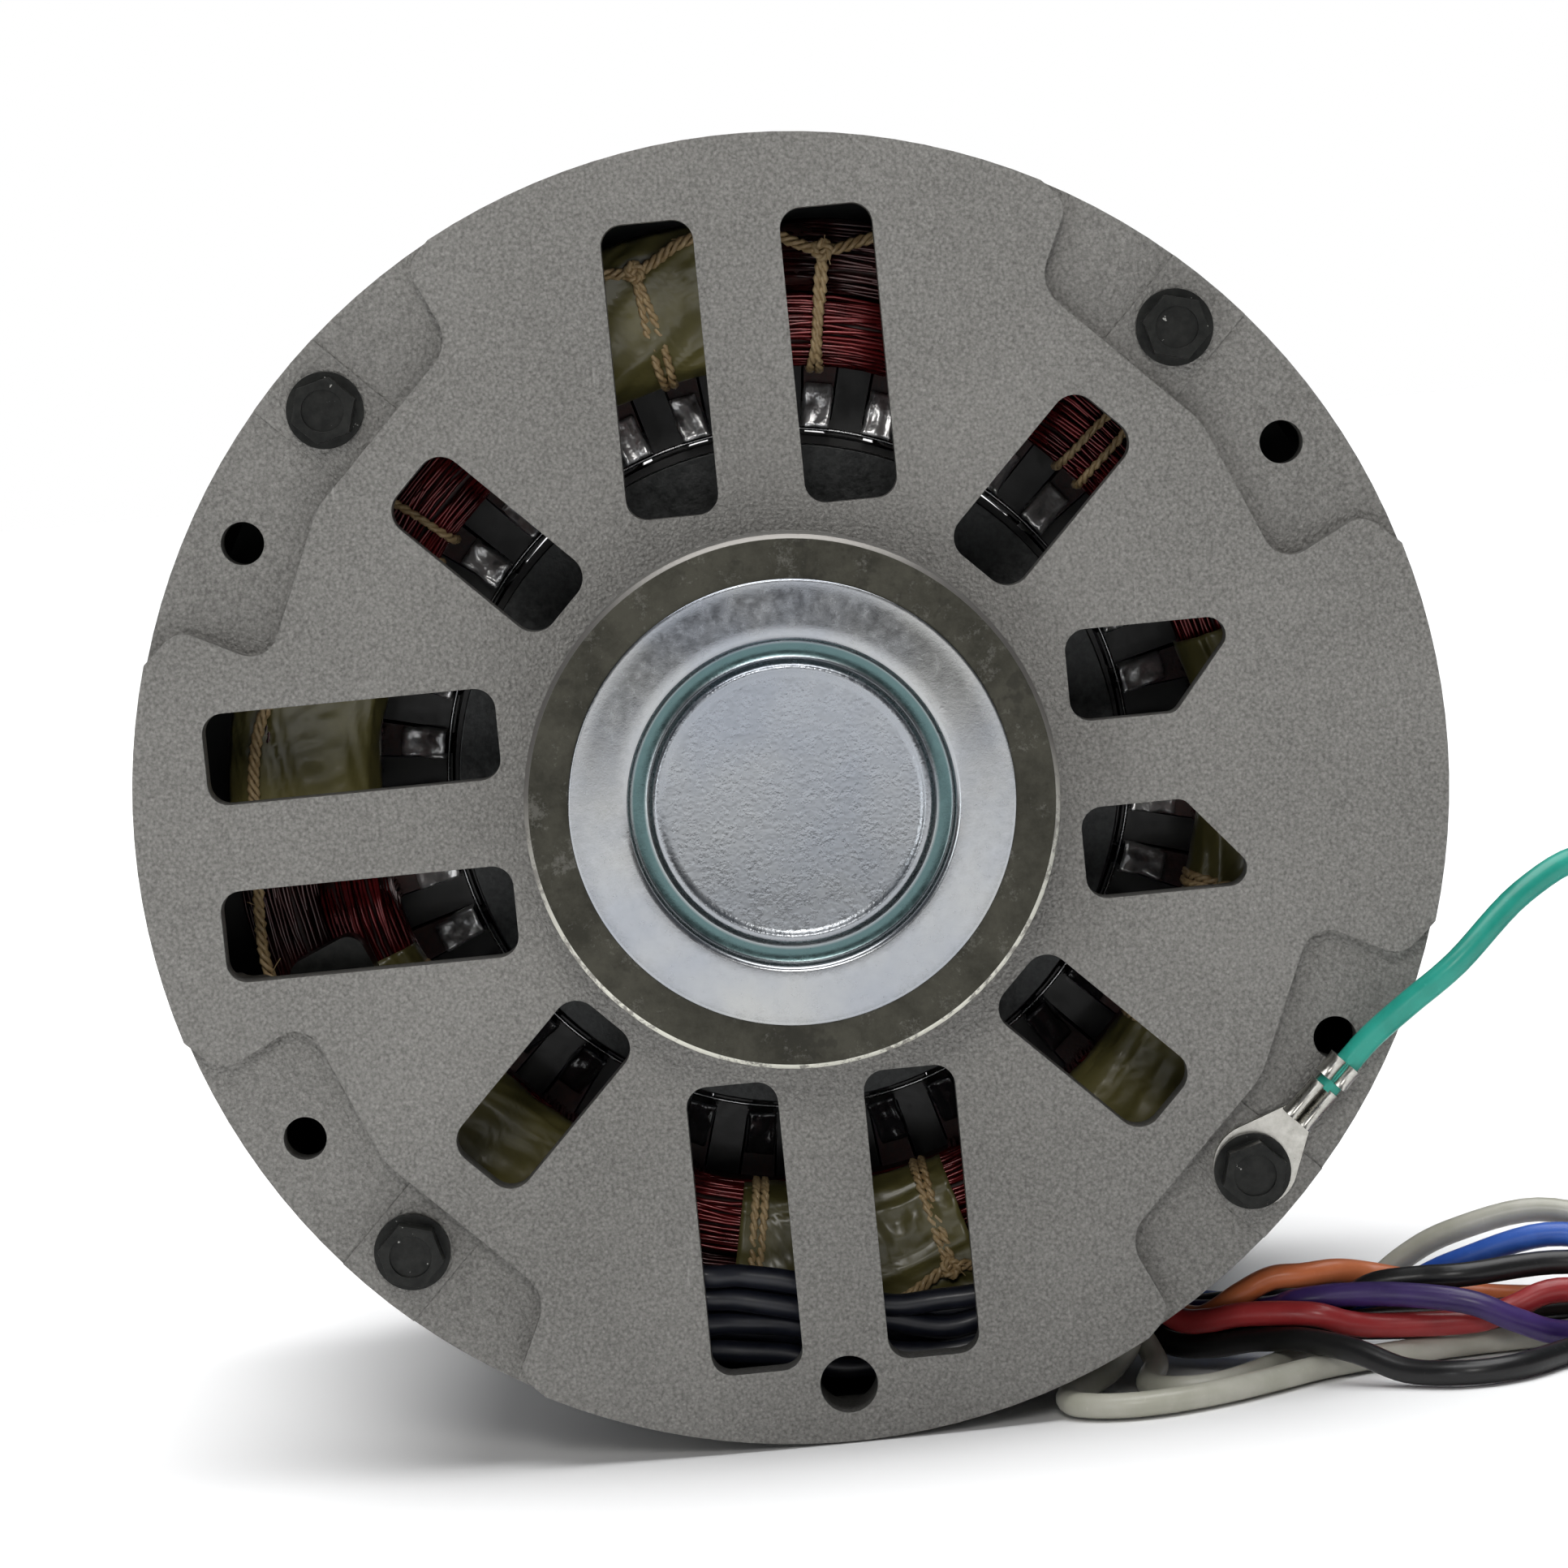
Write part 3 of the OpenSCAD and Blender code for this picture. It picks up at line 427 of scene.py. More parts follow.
def black_oxide():
    """Dark fastener finish, rubbed bright in a few places."""
    paint = Paint("black_oxide")
    tone = paint.noise(700, 4, 0.7)
    colour = paint.mix(paint.ramp(tone, 0.35, 0.65), (0.004, 0.0045, 0.004), (0.014, 0.0145, 0.013))
    rubbed = paint.ramp(paint.noise(900, 3, 0.7), 0.69, 0.73)
    colour = paint.mix(rubbed, colour, (0.34, 0.34, 0.32))
    relief = paint.bump(tone, 0.00004, 0.6)
    return paint.done(Base_Color=colour, Metallic=0.3, Roughness=0.34, Normal=relief, Specular_IOR_Level=0.25)


def soft(name, dark, light, rough, scale=700.0, depth=0.00003, coat=0.0, weave=0.0):
    """A plastic, rubber, film or fibre with mottling, and a coat if it is varnished."""
    paint = Paint(name)
    mottle = paint.noise(scale, 4, 0.6)
    cloud = paint.noise(scale / 9, 4, 0.6)
    factor = paint.math("ADD", paint.times(mottle, 0.5), paint.times(cloud, 0.5))
    colour = paint.mix(paint.ramp(factor, 0.36, 0.64), dark, light)
    shine = paint.ramp(mottle, 0.3, 0.7, rough - 0.06, rough + 0.08)
    relief = paint.bump(mottle, depth, 0.6)
    if weave:
        relief = paint.bump(paint.cells(weave), 0.00006, 0.6, relief)
    return paint.done(Base_Color=colour, Roughness=shine, Normal=relief, Coat_Weight=coat,
                      Coat_Roughness=0.12)


def enamelled_wire(name, dark, light):
    """Glossy enamel on copper."""
    paint = Paint(name)
    tone = paint.noise(260, 3, 0.6)
    colour = paint.mix(paint.ramp(tone, 0.3, 0.7), dark, light)
    return paint.done(Base_Color=colour, Metallic=0.5, Roughness=0.24, Coat_Weight=0.4, Coat_Roughness=0.08)


def amber_film():
    """Yellowed insulating film with soft streaks along the shaft."""
    paint = Paint("amber_film")
    tone = paint.noise(90, 4, 0.6)
    streak = paint.noise(1.0, 3, 0.6, paint.stretched((500, 60, 500)))
    colour = paint.mix(paint.ramp(tone, 0.3, 0.7), (0.068, 0.061, 0.018), (0.185, 0.163, 0.056))
    relief = paint.bump(streak, 0.00012, 0.35)
    return paint.done(Base_Color=colour, Roughness=0.4, Normal=relief, Coat_Weight=0.25,
                      Coat_Roughness=0.2)


def clear_film():
    """Crumpled clear film, which mostly shows as bright glints."""
    paint = Paint("clear_film")
    tone = paint.noise(330, 3, 0.6)
    colour = paint.mix(paint.ramp(tone, 0.36, 0.48), (0.6, 0.61, 0.62), (1.0, 1.0, 1.0))
    relief = paint.bump(tone, 0.0006, 0.6)
    return paint.done(Base_Color=colour, Metallic=0.82, Roughness=0.32, Normal=relief, Coat_Weight=1.0,
                      Coat_Roughness=0.16)


def insulation(name, dark, light):
    """Extruded lead insulation: satin, with faint scuffs along it."""
    paint = Paint(name)
    cloud = paint.noise(120, 4, 0.6)
    scuff = paint.ramp(paint.noise(1500, 4, 0.7), 0.62, 0.75)
    colour = paint.mix(paint.ramp(cloud, 0.35, 0.65), dark, light)
    scuffed = tuple(min(1, 1.5 * c + 0.1) for c in light)
    colour = paint.mix(paint.times(scuff, 0.18), colour, scuffed)
    relief = paint.bump(paint.noise(900, 3, 0.6), 0.00004, 0.5)
    shine = paint.ramp(cloud, 0.3, 0.7, 0.3, 0.42)
    return paint.done(Base_Color=colour, Roughness=shine, Normal=relief, Specular_IOR_Level=0.35,
                      Coat_Weight=0.08, Coat_Roughness=0.15)


def label_foil():
    """Brushed foil with blank ruled fields."""
    paint = Paint("label_foil")
    brushed = paint.noise(1.0, 4, 0.65, paint.stretched((9000, 260, 9000)))
    colour = paint.mix(paint.ramp(brushed, 0.3, 0.7), (0.36, 0.36, 0.355), (0.5, 0.5, 0.49))
    height = paint.along(1)
    rules = inside(paint, height, -0.0318, -0.0314, 0.0001)
    for place in (0.0396, 0.0476, 0.0556, 0.0636, 0.0716, 0.0796):
        rules = paint.math("ADD", rules, inside(paint, height, -place - 0.0004, -place, 0.0001))
    across = inside(paint, paint.along(0), -0.032, 0.03, 0.0001)
    colour = paint.mix(paint.times(rules, across), colour, (0.03, 0.03, 0.032))
    relief = paint.bump(brushed, 0.00001, 0.4)
    return paint.done(Base_Color=colour, Metallic=0.7, Roughness=0.42, Normal=relief)


def floor_paper():
    """Plain white paper."""
    paint = Paint("floor_paper")
    tone = paint.noise(3, 2, 0.5)
    colour = paint.mix(tone, (0.9, 0.9, 0.9), (0.93, 0.93, 0.93))
    return paint.done(Base_Color=colour, Roughness=0.9)


LEAD_COLOURS = {
    "orange": ((0.62, 0.16, 0.055), (0.74, 0.23, 0.095)),
    "red": ((0.25, 0.018, 0.02), (0.35, 0.032, 0.033)),
    "brown": ((0.016, 0.011, 0.01), (0.036, 0.026, 0.023)),
    "purple": ((0.024, 0.012, 0.072), (0.047, 0.023, 0.125)),
    "blue": ((0.02, 0.075, 0.36), (0.04, 0.13, 0.52)),
    "black": ((0.004, 0.004, 0.004), (0.01, 0.0095, 0.01)),
    "white": ((0.38, 0.375, 0.31), (0.5, 0.49, 0.43)),
    "green": ((0.008, 0.2, 0.15), (0.02, 0.29, 0.225)),
}

CAST = cast_aluminium()
ZINC = zinc_plate()
SHELL_PAINT = soft("shell_paint", (0.008, 0.008, 0.009), (0.016, 0.016, 0.017), 0.32, 1400, 0.00002, 0.3)
VARNISH = soft("core_varnish", (0.003, 0.003, 0.003), (0.013, 0.012, 0.011), 0.42, 900, 0.00005, 0.1)
OXIDE = black_oxide()
TIN = metal("tinned_brass", (0.34, 0.33, 0.3), (0.58, 0.57, 0.53), 0.3, 1100, 0.00004)
BRONZE = metal("sintered_bronze", (0.3, 0.17, 0.06), (0.48, 0.3, 0.12), 0.5, 2600, 0.00004)
STEEL = metal("ground_steel", (0.15, 0.153, 0.157), (0.25, 0.25, 0.255), 0.3, stretch=(300, 9000, 300))
# Bright steel for the ring along the bore edge: a painted highlight line.
BORE_EDGE_HIGHLIGHT = metal("bore_edge_painted_highlight", (0.42, 0.43, 0.44), (0.66, 0.66, 0.67), 0.24)
SPRING_STEEL = metal("spring_steel", (0.06, 0.06, 0.062), (0.14, 0.14, 0.142), 0.4)
CAGE = metal("cast_cage", (0.016, 0.017, 0.017), (0.055, 0.057, 0.057), 0.34, 1100, 0.00009, 0.7)
FOIL = label_foil()
WIRES = {
    "start": enamelled_wire("red_enamel", (0.07, 0.003, 0.004), (0.2, 0.01, 0.012)),
    "main": enamelled_wire("dark_enamel", (0.016, 0.003, 0.003), (0.06, 0.008, 0.008)),
}
CORE_WIRE = soft("winding_core", (0.012, 0.004, 0.003), (0.05, 0.012, 0.009), 0.5, 1800, 0.0001)
FILM = amber_film()
CLEAR = clear_film()
CORD = soft("lacing_cord", (0.3, 0.19, 0.08), (0.56, 0.42, 0.23), 0.5, 1500, 0.00006, 0.25, 3500)
# Painted shade: the slot film, painted black for the lower slots that lie in shade.
SHADE_PAINTED_FILM = soft("slot_film_painted_shade", (0.006, 0.006, 0.007), (0.03, 0.03, 0.032), 0.14, 420, 0.0004, 1.0)
SLEEVE = soft("sleeving", (0.004, 0.005, 0.009), (0.01, 0.012, 0.022), 0.42, 500, 0.00003, 0.1)
RUBBER = soft("rubber", (0.01, 0.01, 0.01), (0.022, 0.021, 0.02), 0.62, 1200, 0.00005)
FELT = soft("felt", (0.5, 0.47, 0.38), (0.68, 0.65, 0.55), 0.9, 2600, 0.0002)
NYLON = soft("nylon", (0.68, 0.67, 0.6), (0.78, 0.77, 0.71), 0.4, 500, 0.00002)
INSULATION = {colour: insulation(colour + "_insulation", *tones) for colour, tones in LEAD_COLOURS.items()}


def paint_with(piece, material):
    """Gives the piece this one material."""
    piece.data.materials.clear()
    piece.data.materials.append(material)


def round_edges(piece, width, segments, angle):
    """Rounds the edges sharper than this angle in degrees."""
    bevel = piece.modifiers.new("edges", "BEVEL")
    bevel.width = width * MM
    bevel.segments = segments
    bevel.limit_method = "ANGLE"
    bevel.angle_limit = math.radians(angle)
    bevel.harden_normals = True
    bevel.use_clamp_overlap = True


def dress(node, material, edge=0.0):
    """Gives a CAD node its finish, and a small round on its sharp edges."""
    piece = NODES[node]
    paint_with(piece, material)
    if edge:
        weld = piece.modifiers.new("weld", "WELD")
        weld.merge_threshold = 0.000002
        round_edges(piece, edge, 3, 32)


def thicken(piece, thickness):
    """Gives a surface this thickness, in millimetres."""
    thick = piece.modifiers.new("thick", "SOLIDIFY")
    thick.thickness = thickness * MM


def stand_for(piece, slot, *nodes):
    """Makes a piece ride on the stator, in the place of these CAD nodes; the slot is not used."""
    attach(piece, BODY)
    if nodes:
        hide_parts(*nodes)


for lead_name, lead_piece in LEADS.items():
    lead_colour = lead_name.split("_")[0]
    paint_with(lead_piece, INSULATION[lead_colour])

dress("lead_end_shield", CAST, 0.3)
dress("shaft_end_shield", CAST, 0.3)
dress("shell", SHELL_PAINT, 0.2)
dress("stator_core", VARNISH)
dress("slot_conductors", CORE_WIRE)
dress("thermal_protector", OXIDE, 0.4)
dress("through_bolts", OXIDE, 0.2)
dress("bolt_nuts", OXIDE, 0.2)
for end in ("lead_end", "shaft_end"):
    dress(end + "_bearing", BRONZE)
    dress(end + "_wick", FELT)
    dress(end + "_retainer", ZINC)
    dress(end + "_cap", ZINC)
dress("lead_grommet", RUBBER, 0.3)
dress("data_plate", FOIL)
dress("rotor_shaft", STEEL)
dress("rotor_core", VARNISH)
dress("rotor_cage", CAGE, 0.4)
dress("thrust_washers", NYLON)
dress("retaining_rings", SPRING_STEEL)
dress("shaft_slinger", RUBBER, 0.3)
dress("lead_tips", TIN)

# ---- Stator windings ----


def new_mesh(name, vertices, faces, material):
    """A mesh object from points in metres, with its material."""
    data = bpy.data.meshes.new(name)
    data.from_pydata([tuple(v) for v in vertices], [], faces)
    data.validate()
    data.update()
    data.shade_smooth()
    data.materials.append(material)
    return add_object(name, data)


def grid_faces(rows, columns, offset=0):
    """The faces of a grid of vertices that is numbered row by row from this offset."""
    corners = [offset + i * columns + k for i in range(rows - 1) for k in range(columns - 1)]
    return [(c, c + 1, c + columns + 1, c + columns) for c in corners]


HEAD_BASE = CORE_END + 1.5
HEAD_HALF_SPAN = 27.6
WIRE_R = 0.27
WIRE_PITCH = 0.53
WIRE_DEPTH = 8.0
HEAD_CORNER = 2.85
HEAD_ROUND = 9.0
HEADS = {"main": ((55.0, 62.4), CORE_END + CROWN, 0.0), "start": ((46.8, 54.2), CORE_END + CROWN - 2, 30.0)}
# A place that is given for the lead end, as it lies at each end of the motor
ENDS = {"lead_end": lambda s: s, "shaft_end": lambda s: FRAME_LENGTH - s}


def head_profile(radii, top, step, full=False):
    """Points (radius, depth under the top) round the section of a winding head, at this spacing."""
    side = (top - HEAD_BASE if full else WIRE_DEPTH) - HEAD_CORNER
    arc = HEAD_CORNER * math.pi / 2
    total = 2 * (side + arc - HEAD_CORNER) + radii[1] - radii[0]
    count = int(total / step)
    out = []
    for i in range(count + 1):
        run = total * i / count
        near = min(run, total - run)
        if near < side:
            inset, depth = 0.0, HEAD_CORNER + side - near
        elif near < side + arc:
            a = (near - side) / HEAD_CORNER
            inset, depth = HEAD_CORNER * (1 - math.cos(a)), HEAD_CORNER * (1 - math.sin(a))
        else:
            inset, depth = HEAD_CORNER + near - side - arc, 0.0
        out.append((radii[0] + inset if near == run else radii[1] - inset, depth))
    return out


def arch(radius, depth, top):
    """A strand's way from slot to slot: (distance along the ring, place s) at this depth under the top."""
    half = math.radians(HEAD_HALF_SPAN) * radius - depth
    round_r = max(HEAD_ROUND - depth, 1.5)
    height = top - depth
    out = [(-half, HEAD_BASE), (-half, (HEAD_BASE + height - round_r) / 2)]
    for i in range(5):
        a = math.pi / 2 * i / 4
        out.append((-half + round_r * (1 - math.cos(a)), height - round_r * (1 - math.sin(a))))
    inner = half - round_r
    out += [(inner * k / 5, height) for k in range(-4, 5)]
    return out + [(-x, s) for x, s in reversed(out[:7])]


def wobble(rng):
    """A slow random sway, in millimetres."""
    phase = rng.uniform(0, 100)
    return lambda run, size: size * noise.noise(Vector((run * 0.12, phase, 0)))


def winding_strands(kind, end):
    """The wires on the outside of one ring of coil heads, and a few loose ones across their crowns."""
    radii, top, first = HEADS[kind]
    along = ENDS[end]
    rng = random.Random(kind + end)
    splines = []
    for pole in range(6):
        middle = first + 60 * pole
        for radius, depth in head_profile(radii, top, WIRE_PITCH):
            sway, lift = wobble(rng), wobble(rng)
            radius += rng.uniform(-0.1, 0.1)
            depth += rng.uniform(-0.1, 0.1)
            splines.append([
                at(radius + sway(x, 0.5), middle + math.degrees(x / radius), along(s + lift(x, 0.35)))
                for x, s in arch(radius, depth, top)])
        for _ in range(6):
            start, finish = rng.uniform(*radii), rng.uniform(*radii)
            lift = wobble(rng)
            loose = []
            for x, s in arch(sum(radii) / 2, -0.35, top):
                share = x / 55 + 0.5
                radius = start + (finish - start) * share
                edge = min(radius - radii[0], radii[1] - radius)
                dip = 0.22 * max(0.0, HEAD_CORNER - edge) ** 2
                loose.append(at(radius, middle + math.degrees(x / radius), along(s - dip + lift(x, 0.4))))
            splines.append(loose)
    piece = new_curve(f"{kind}_winding_strands_{end}", splines, WIRE_R * MM, 0)
    paint_with(piece, WIRES[kind])
    stand_for(piece, "magnet_wire", f"{kind}_winding_{end}")


def winding_core(kind, end):
    """The dark mass of wire under the visible strands."""
    radii, top, first = HEADS[kind]
    along = ENDS[end]
    inset = 0.3
    profile = head_profile((radii[0] + inset, radii[1] - inset), top - inset, 1.5, True)
    columns = 33
    vertices, faces = [], []
    for pole in range(6):
        offset = len(vertices)
        for i in range(columns):
            angle = (HEAD_HALF_SPAN - 0.5) * (2 * i / (columns - 1) - 1)
            for radius, depth in profile:
                from_end = math.radians(HEAD_HALF_SPAN - abs(angle)) * radius
                limit = top - inset
                if from_end < HEAD_ROUND:
                    limit += math.sqrt(HEAD_ROUND ** 2 - (HEAD_ROUND - from_end) ** 2) - HEAD_ROUND
                place = max(HEAD_BASE, min(top - inset - depth, limit))
                vertices.append(at(radius, first + 60 * pole + angle, along(place)))
        rows = len(profile)
        faces += grid_faces(columns, rows, offset)
        faces.append(tuple(offset + k for k in range(rows)))
        faces.append(tuple(offset + (columns - 1) * rows + k for k in reversed(range(rows))))
    piece = new_mesh(f"{kind}_winding_core_{end}", vertices, faces, CORE_WIRE)
    stand_for(piece, "magnet_wire")


for end in ENDS:
    for kind in HEADS:
        winding_strands(kind, end)
        winding_core(kind, end)

# ---- Film, lacing, wedges and sleeves ----

FILM_OUTER_R = 63.3
FILM_HIGHEST = CORE_END + CROWN + 2.4
# Where each film sheet starts round the shaft, and how far it spans, in degrees
SHEETS = ((92, 32), (157, 25), (198, 50), (258, 28), (290, 44), (338, 36))


def film_profile(share):
    """(radius, place s) across a film sheet: up the inner side, over the crown and down the outer side."""
    top = CORE_END + CROWN + 0.7
    path = [(46.0, top - 9), (46.1, top - 4), (47.2, top - 1.6), (49.5, top - 0.5), (54.5, top - 0.3),
            (58, top + 0.1), (61, top - 0.1), (62.6, top - 1.5), (63.0, top - 5), (63.1, top - 12)]
    place = share * (len(path) - 1)
    i = min(int(place), len(path) - 2)
    t = place - i
    a, b = path[i], path[i + 1]
    return a[0] + (b[0] - a[0]) * t, a[1] + (b[1] - a[1]) * t


def film_sheet(start, span, end, rng, vertices, faces):
    """Adds one creased sheet with slightly curled ends and uneven edges."""
    along = ENDS[end]
    rows, columns = int(span / 0.7) + 1, 46
    offset = len(vertices)
    seed = rng.uniform(0, 50)
    for i in range(rows):
        angle = start + span * i / (rows - 1)
        low = 0.06 + 0.05 * noise.noise(Vector((angle * 0.25, seed, 1)))
        high = 0.94 + 0.05 * noise.noise(Vector((angle * 0.2, seed, 2)))
        for k in range(columns):
            share = low + (high - low) * k / (columns - 1)
            radius, s = film_profile(share)
            run = math.radians(angle) * radius
            fold = noise.noise(Vector((run * 0.16, share * 3.2, seed)))
            crease = abs(noise.noise(Vector((run * 0.3 + share * 2, share * 1.3, seed + 9)))) - 0.2
            lift = 0.75 * fold - 1.3 * crease
            edge = min(i, rows - 1 - i) / 5
            curl = 0.9 * max(0.0, 1 - edge)
            s += max(-0.35, lift) + curl * 0.5
            radius += 0.4 * fold * (1 if share < 0.2 else 0.2)
            vertices.append(at(min(radius, FILM_OUTER_R), angle, along(min(s, FILM_HIGHEST))))
    faces += grid_faces(rows, columns, offset)


def film(end):
    """The insulating film sheets over the winding heads at one end."""
    rng = random.Random("film" + end)
    vertices, faces = [], []
    for start, span in SHEETS:
        film_sheet(start, span, end, rng, vertices, faces)
    piece = new_mesh("insulating_film_" + end, vertices, faces, FILM)
    thicken(piece, 0.2)
    stand_for(piece, "film", "phase_insulation_" + end)


LACING_TOP = CORE_END + CROWN + 1.3
FIBRES = 90


def twisted(points, helix_r, pitch, plies=2, step=0.35):
    """The plies of a twisted cord along a smooth path, all in millimetres."""
    path = smooth(points, 12)
    lines = [[] for _ in range(plies)]
    run, last = 0.0, 0.0
    for i, point in enumerate(path):
        ahead = (path[min(i + 1, len(path) - 1)] - path[max(i - 1, 0)]).normalized()
        if i:
            run += (point - path[i - 1]).length
        if i and run - last < step:
            continue
        last = run
        side = ahead.cross(Vector((0.3, 1, 0.2))).normalized()
        up = side.cross(ahead)
        for ply, line in enumerate(lines):
            a = 2 * math.pi * (run / pitch + ply / plies)
            line.append((point + side * math.cos(a) * helix_r + up * math.sin(a) * helix_r) * MM)
    return lines


def cord_point(radius, angle, s):
    """The same place as at() gives, in millimetres."""
    return at(radius, angle, s) / MM


def stitch(radius, angle, spread, along, rng):
    """One doubled stitch: from the ring cord in over the crown, and down between the winding heads."""
    lines = []
    for side in (-1, 1):
        turn = side * spread
        lean = rng.uniform(-0.3, 0.3)
        path = ((46.0, turn * 1.2, -8), (46.3, turn * 1.2, -3.2), (48.2, turn + lean, -1.3),
                (52, turn * 0.9 + lean, -1.0), (56, turn * 0.7, -0.3), (radius, turn * 0.2, 0.2))
        lines += twisted([cord_point(r, angle + a, along(LACING_TOP + s)) for r, a, s in path], 0.26, 2.4)
    return lines


def knot(radius, angle, along):
    """A small knot: one turn of doubled cord round the ring cord."""
    path = []
    for k in range(9):
        a = k * 0.8
        path.append(cord_point(radius + 0.9 * math.cos(a), angle + 0.8 * math.sin(a),
                               along(LACING_TOP + 0.4 + 0.03 * a)))
    return twisted(path, 0.26, 1.7)


def lacing(end):
    """A cord round the crown, tied down by a doubled stitch at each place, with loose fine fibres."""
    along = ENDS[end]
    rng = random.Random("lacing" + end)
    ring, splines = [], []
    places = [1 + 20 * i + rng.uniform(-2, 2) for i in range(18)]
    for i, angle in enumerate(places):
        radius = 58.2 + rng.uniform(-1.2, 1.2)
        gap = (places[(i + 1) % 18] - angle) % 360
        ring.append((radius, angle))
        for out, share in ((1.8, 0.35), (2.6, 0.7)):
            ring.append((radius + out + rng.uniform(-0.6, 0.6), angle + gap * share))
        splines += stitch(radius, angle, rng.choice((0.5, 0.5, 1.6)), along, rng)
        splines += knot(radius, angle, along)
    loop = [cord_point(r, a, along(LACING_TOP + 0.1)) for r, a in ring]
    splines += twisted(loop + loop[:1], 0.46, 3.4, 3)
    for _ in range(FIBRES):
        radius, angle = rng.choice(ring)
        away = rng.uniform(-3, 3)
        tip_r = min(radius + rng.uniform(-2.2, 2.2), 62)
        tip = cord_point(tip_r, angle + away * 0.8, along(LACING_TOP + rng.uniform(0, 1.2)))
        root = cord_point(radius, angle + away * 0.3, along(LACING_TOP + 0.4))
        middle = (root + tip) / 2 + Vector((0, -0.2, 0.1))
        splines.append([v * MM for v in smooth([root, middle, tip], 4)])
    piece = new_curve("lacing_cord_" + end, splines, 0.3 * MM, 1)
    for spline in piece.data.splines[-FIBRES:]:
        for point in spline.points:
            point.radius = 0.06 * MM
    paint_with(piece, CORD)
    stand_for(piece, "cord", "lacing_" + end)


# The angles between which the slots' film is painted black instead of clear, as painted shade: it is the same
# film, lying in shade
SHADE_PAINTED_SLOTS = (212, 332)


def slot_film(angle, along, rng, vertices, faces):
    """One folded film: two flanges on the core, and a crumpled channel that closes the slot opening."""
    across, down = 17, 11
    offset = len(vertices)
    seed = rng.uniform(0, 90)
    lean = rng.uniform(-0.5, 0.5)
    twist = rng.uniform(-0.5, 0.5)
    for k in range(down):
        share = k / (down - 1)
        radius = BORE_R + 0.75 + 5.0 * share
        for j in range(across):
            turn = math.pi * j / (across - 1)
            crumple = noise.noise(Vector((j * 0.3, share * 2.6, seed)))
            side = (1.72 + 0.25 * crumple) * math.cos(turn) + lean * (share - 0.3)
            out = (3.4 - 1.4 * share) * min(1.0, 1.9 * math.sin(turn))
            out += 0.5 * crumple + twist * math.cos(turn)
            vertices.append(at(radius, angle + math.degrees(side / radius),
                               along(CORE_END + 0.9 + max(0.0, out))))
    faces += grid_faces(down, across, offset)


def slot_films():
    """The folded film that stands out of each slot opening at both ends."""
    rng = random.Random("slot films")
    kinds = (("clear_slot_film", CLEAR, False, ["slot_wedges"]), ("slot_film_painted_black_as_shade", SHADE_PAINTED_FILM, True, []))
    for name, material, black, stands_for in kinds:
        vertices, faces = [], []
        for along in ENDS.values():
            for i in range(SLOT_COUNT):
                angle = i * 360 / SLOT_COUNT
                # The lower slots get the film painted black as shade; the others get the clear film.
                if (SHADE_PAINTED_SLOTS[0] < angle < SHADE_PAINTED_SLOTS[1]) == black:
                    slot_film(angle, along, rng, vertices, faces)
        piece = new_mesh(name, vertices, faces, material)
        thicken(piece, 0.18)
        stand_for(piece, "film", *stands_for)


def bore_edges():
    """A thin bright steel ring along the bore on the core's end lamination: a painted highlight along the
    bore edge.
    """
    splines = []
    for along in ENDS.values():
        splines.append([at(BORE_R + 0.45, 2 * k, along(CORE_END + 0.12)) for k in range(180)])
    piece = new_curve("bore_edges", splines, 0.22 * MM, 2, True)
    paint_with(piece, BORE_EDGE_HIGHLIGHT)
    stand_for(piece, "core_steel")


def sleeved_leads():
    """Black sleeved leads from the winding to the outlet."""
    rng = random.Random("sleeves")
    splines = []
    runs = ((63.9, 98.6), (63.2, 101.4), (61.2, 99.4), (60.4, 102.2), (58.4, 100.4), (57.4, 103.2),
            (55.7, 101.6), (54.6, 104.2))
    for radius, s in runs:
        sway = wobble(rng)
        points = [cord_point(radius - 4, 247 + rng.uniform(-3, 3), s - 8)]
        for k in range(8):
            angle = 253 + 5.5 * k
            share = min(1.0, max(0.0, (angle - 262) / 22))
            out = min(65.0, radius + 5.5 * share * share * (3 - 2 * share))
            points.append(cord_point(out + sway(k * 9, 1.0), angle, s - 1.5 * share + sway(k * 9 + 50, 0.9)))
        points.append(cord_point(65.3, 298 + rng.uniform(-2, 1), s - 9))
        splines.append([p * MM for p in smooth(points, 6)])
    piece = new_curve("sleeved_leads", splines, 1.3 * MM, 3)
    paint_with(piece, SLEEVE)
    stand_for(piece, "black_insulation", "internal_leads")


for end in ENDS:
    film(end)
    lacing(end)
slot_films()
bore_edges()
sleeved_leads()

# ---- Lead-end bearing cap ----


def arc_points(middle, radius, start, finish, steps=6):
    """Points on an arc in the (radius, place) plane; angles in degrees from outward towards the face."""
    out = []
    for i in range(steps + 1):
        a = math.radians(start + (finish - start) * i / steps)
        out.append((middle[0] + radius * math.cos(a), middle[1] + radius * math.sin(a)))
    return out


def cap_profile():
    """The pressed cap from its middle outwards: disc, rolled rim, groove, sloping flange and lip."""
    disc = [(0.0, 124.05), (4.0, 124.08), (8.0, 124.18), (11.0, 124.32), (13.4, 124.5)]
    rim = arc_points((14.35, 124.12), 0.62, 140, 10)
    groove_in = arc_points((15.75, 123.95), 0.6, 190, 250, 4)
    groove_out = arc_points((16.8, 123.95), 0.6, 290, 350, 4)
    shoulder = arc_points((18.1, 124.15), 0.72, 170, 92)
    flange = [(19.2, 124.84), (20.6, 124.73), (22.0, 124.61), (23.5, 124.47)]
    lip = arc_points((23.62, 124.25), 0.24, 84, -90)
    return disc + rim + groove_in + groove_out + shoulder + flange + lip + [(23.0, 123.98)]


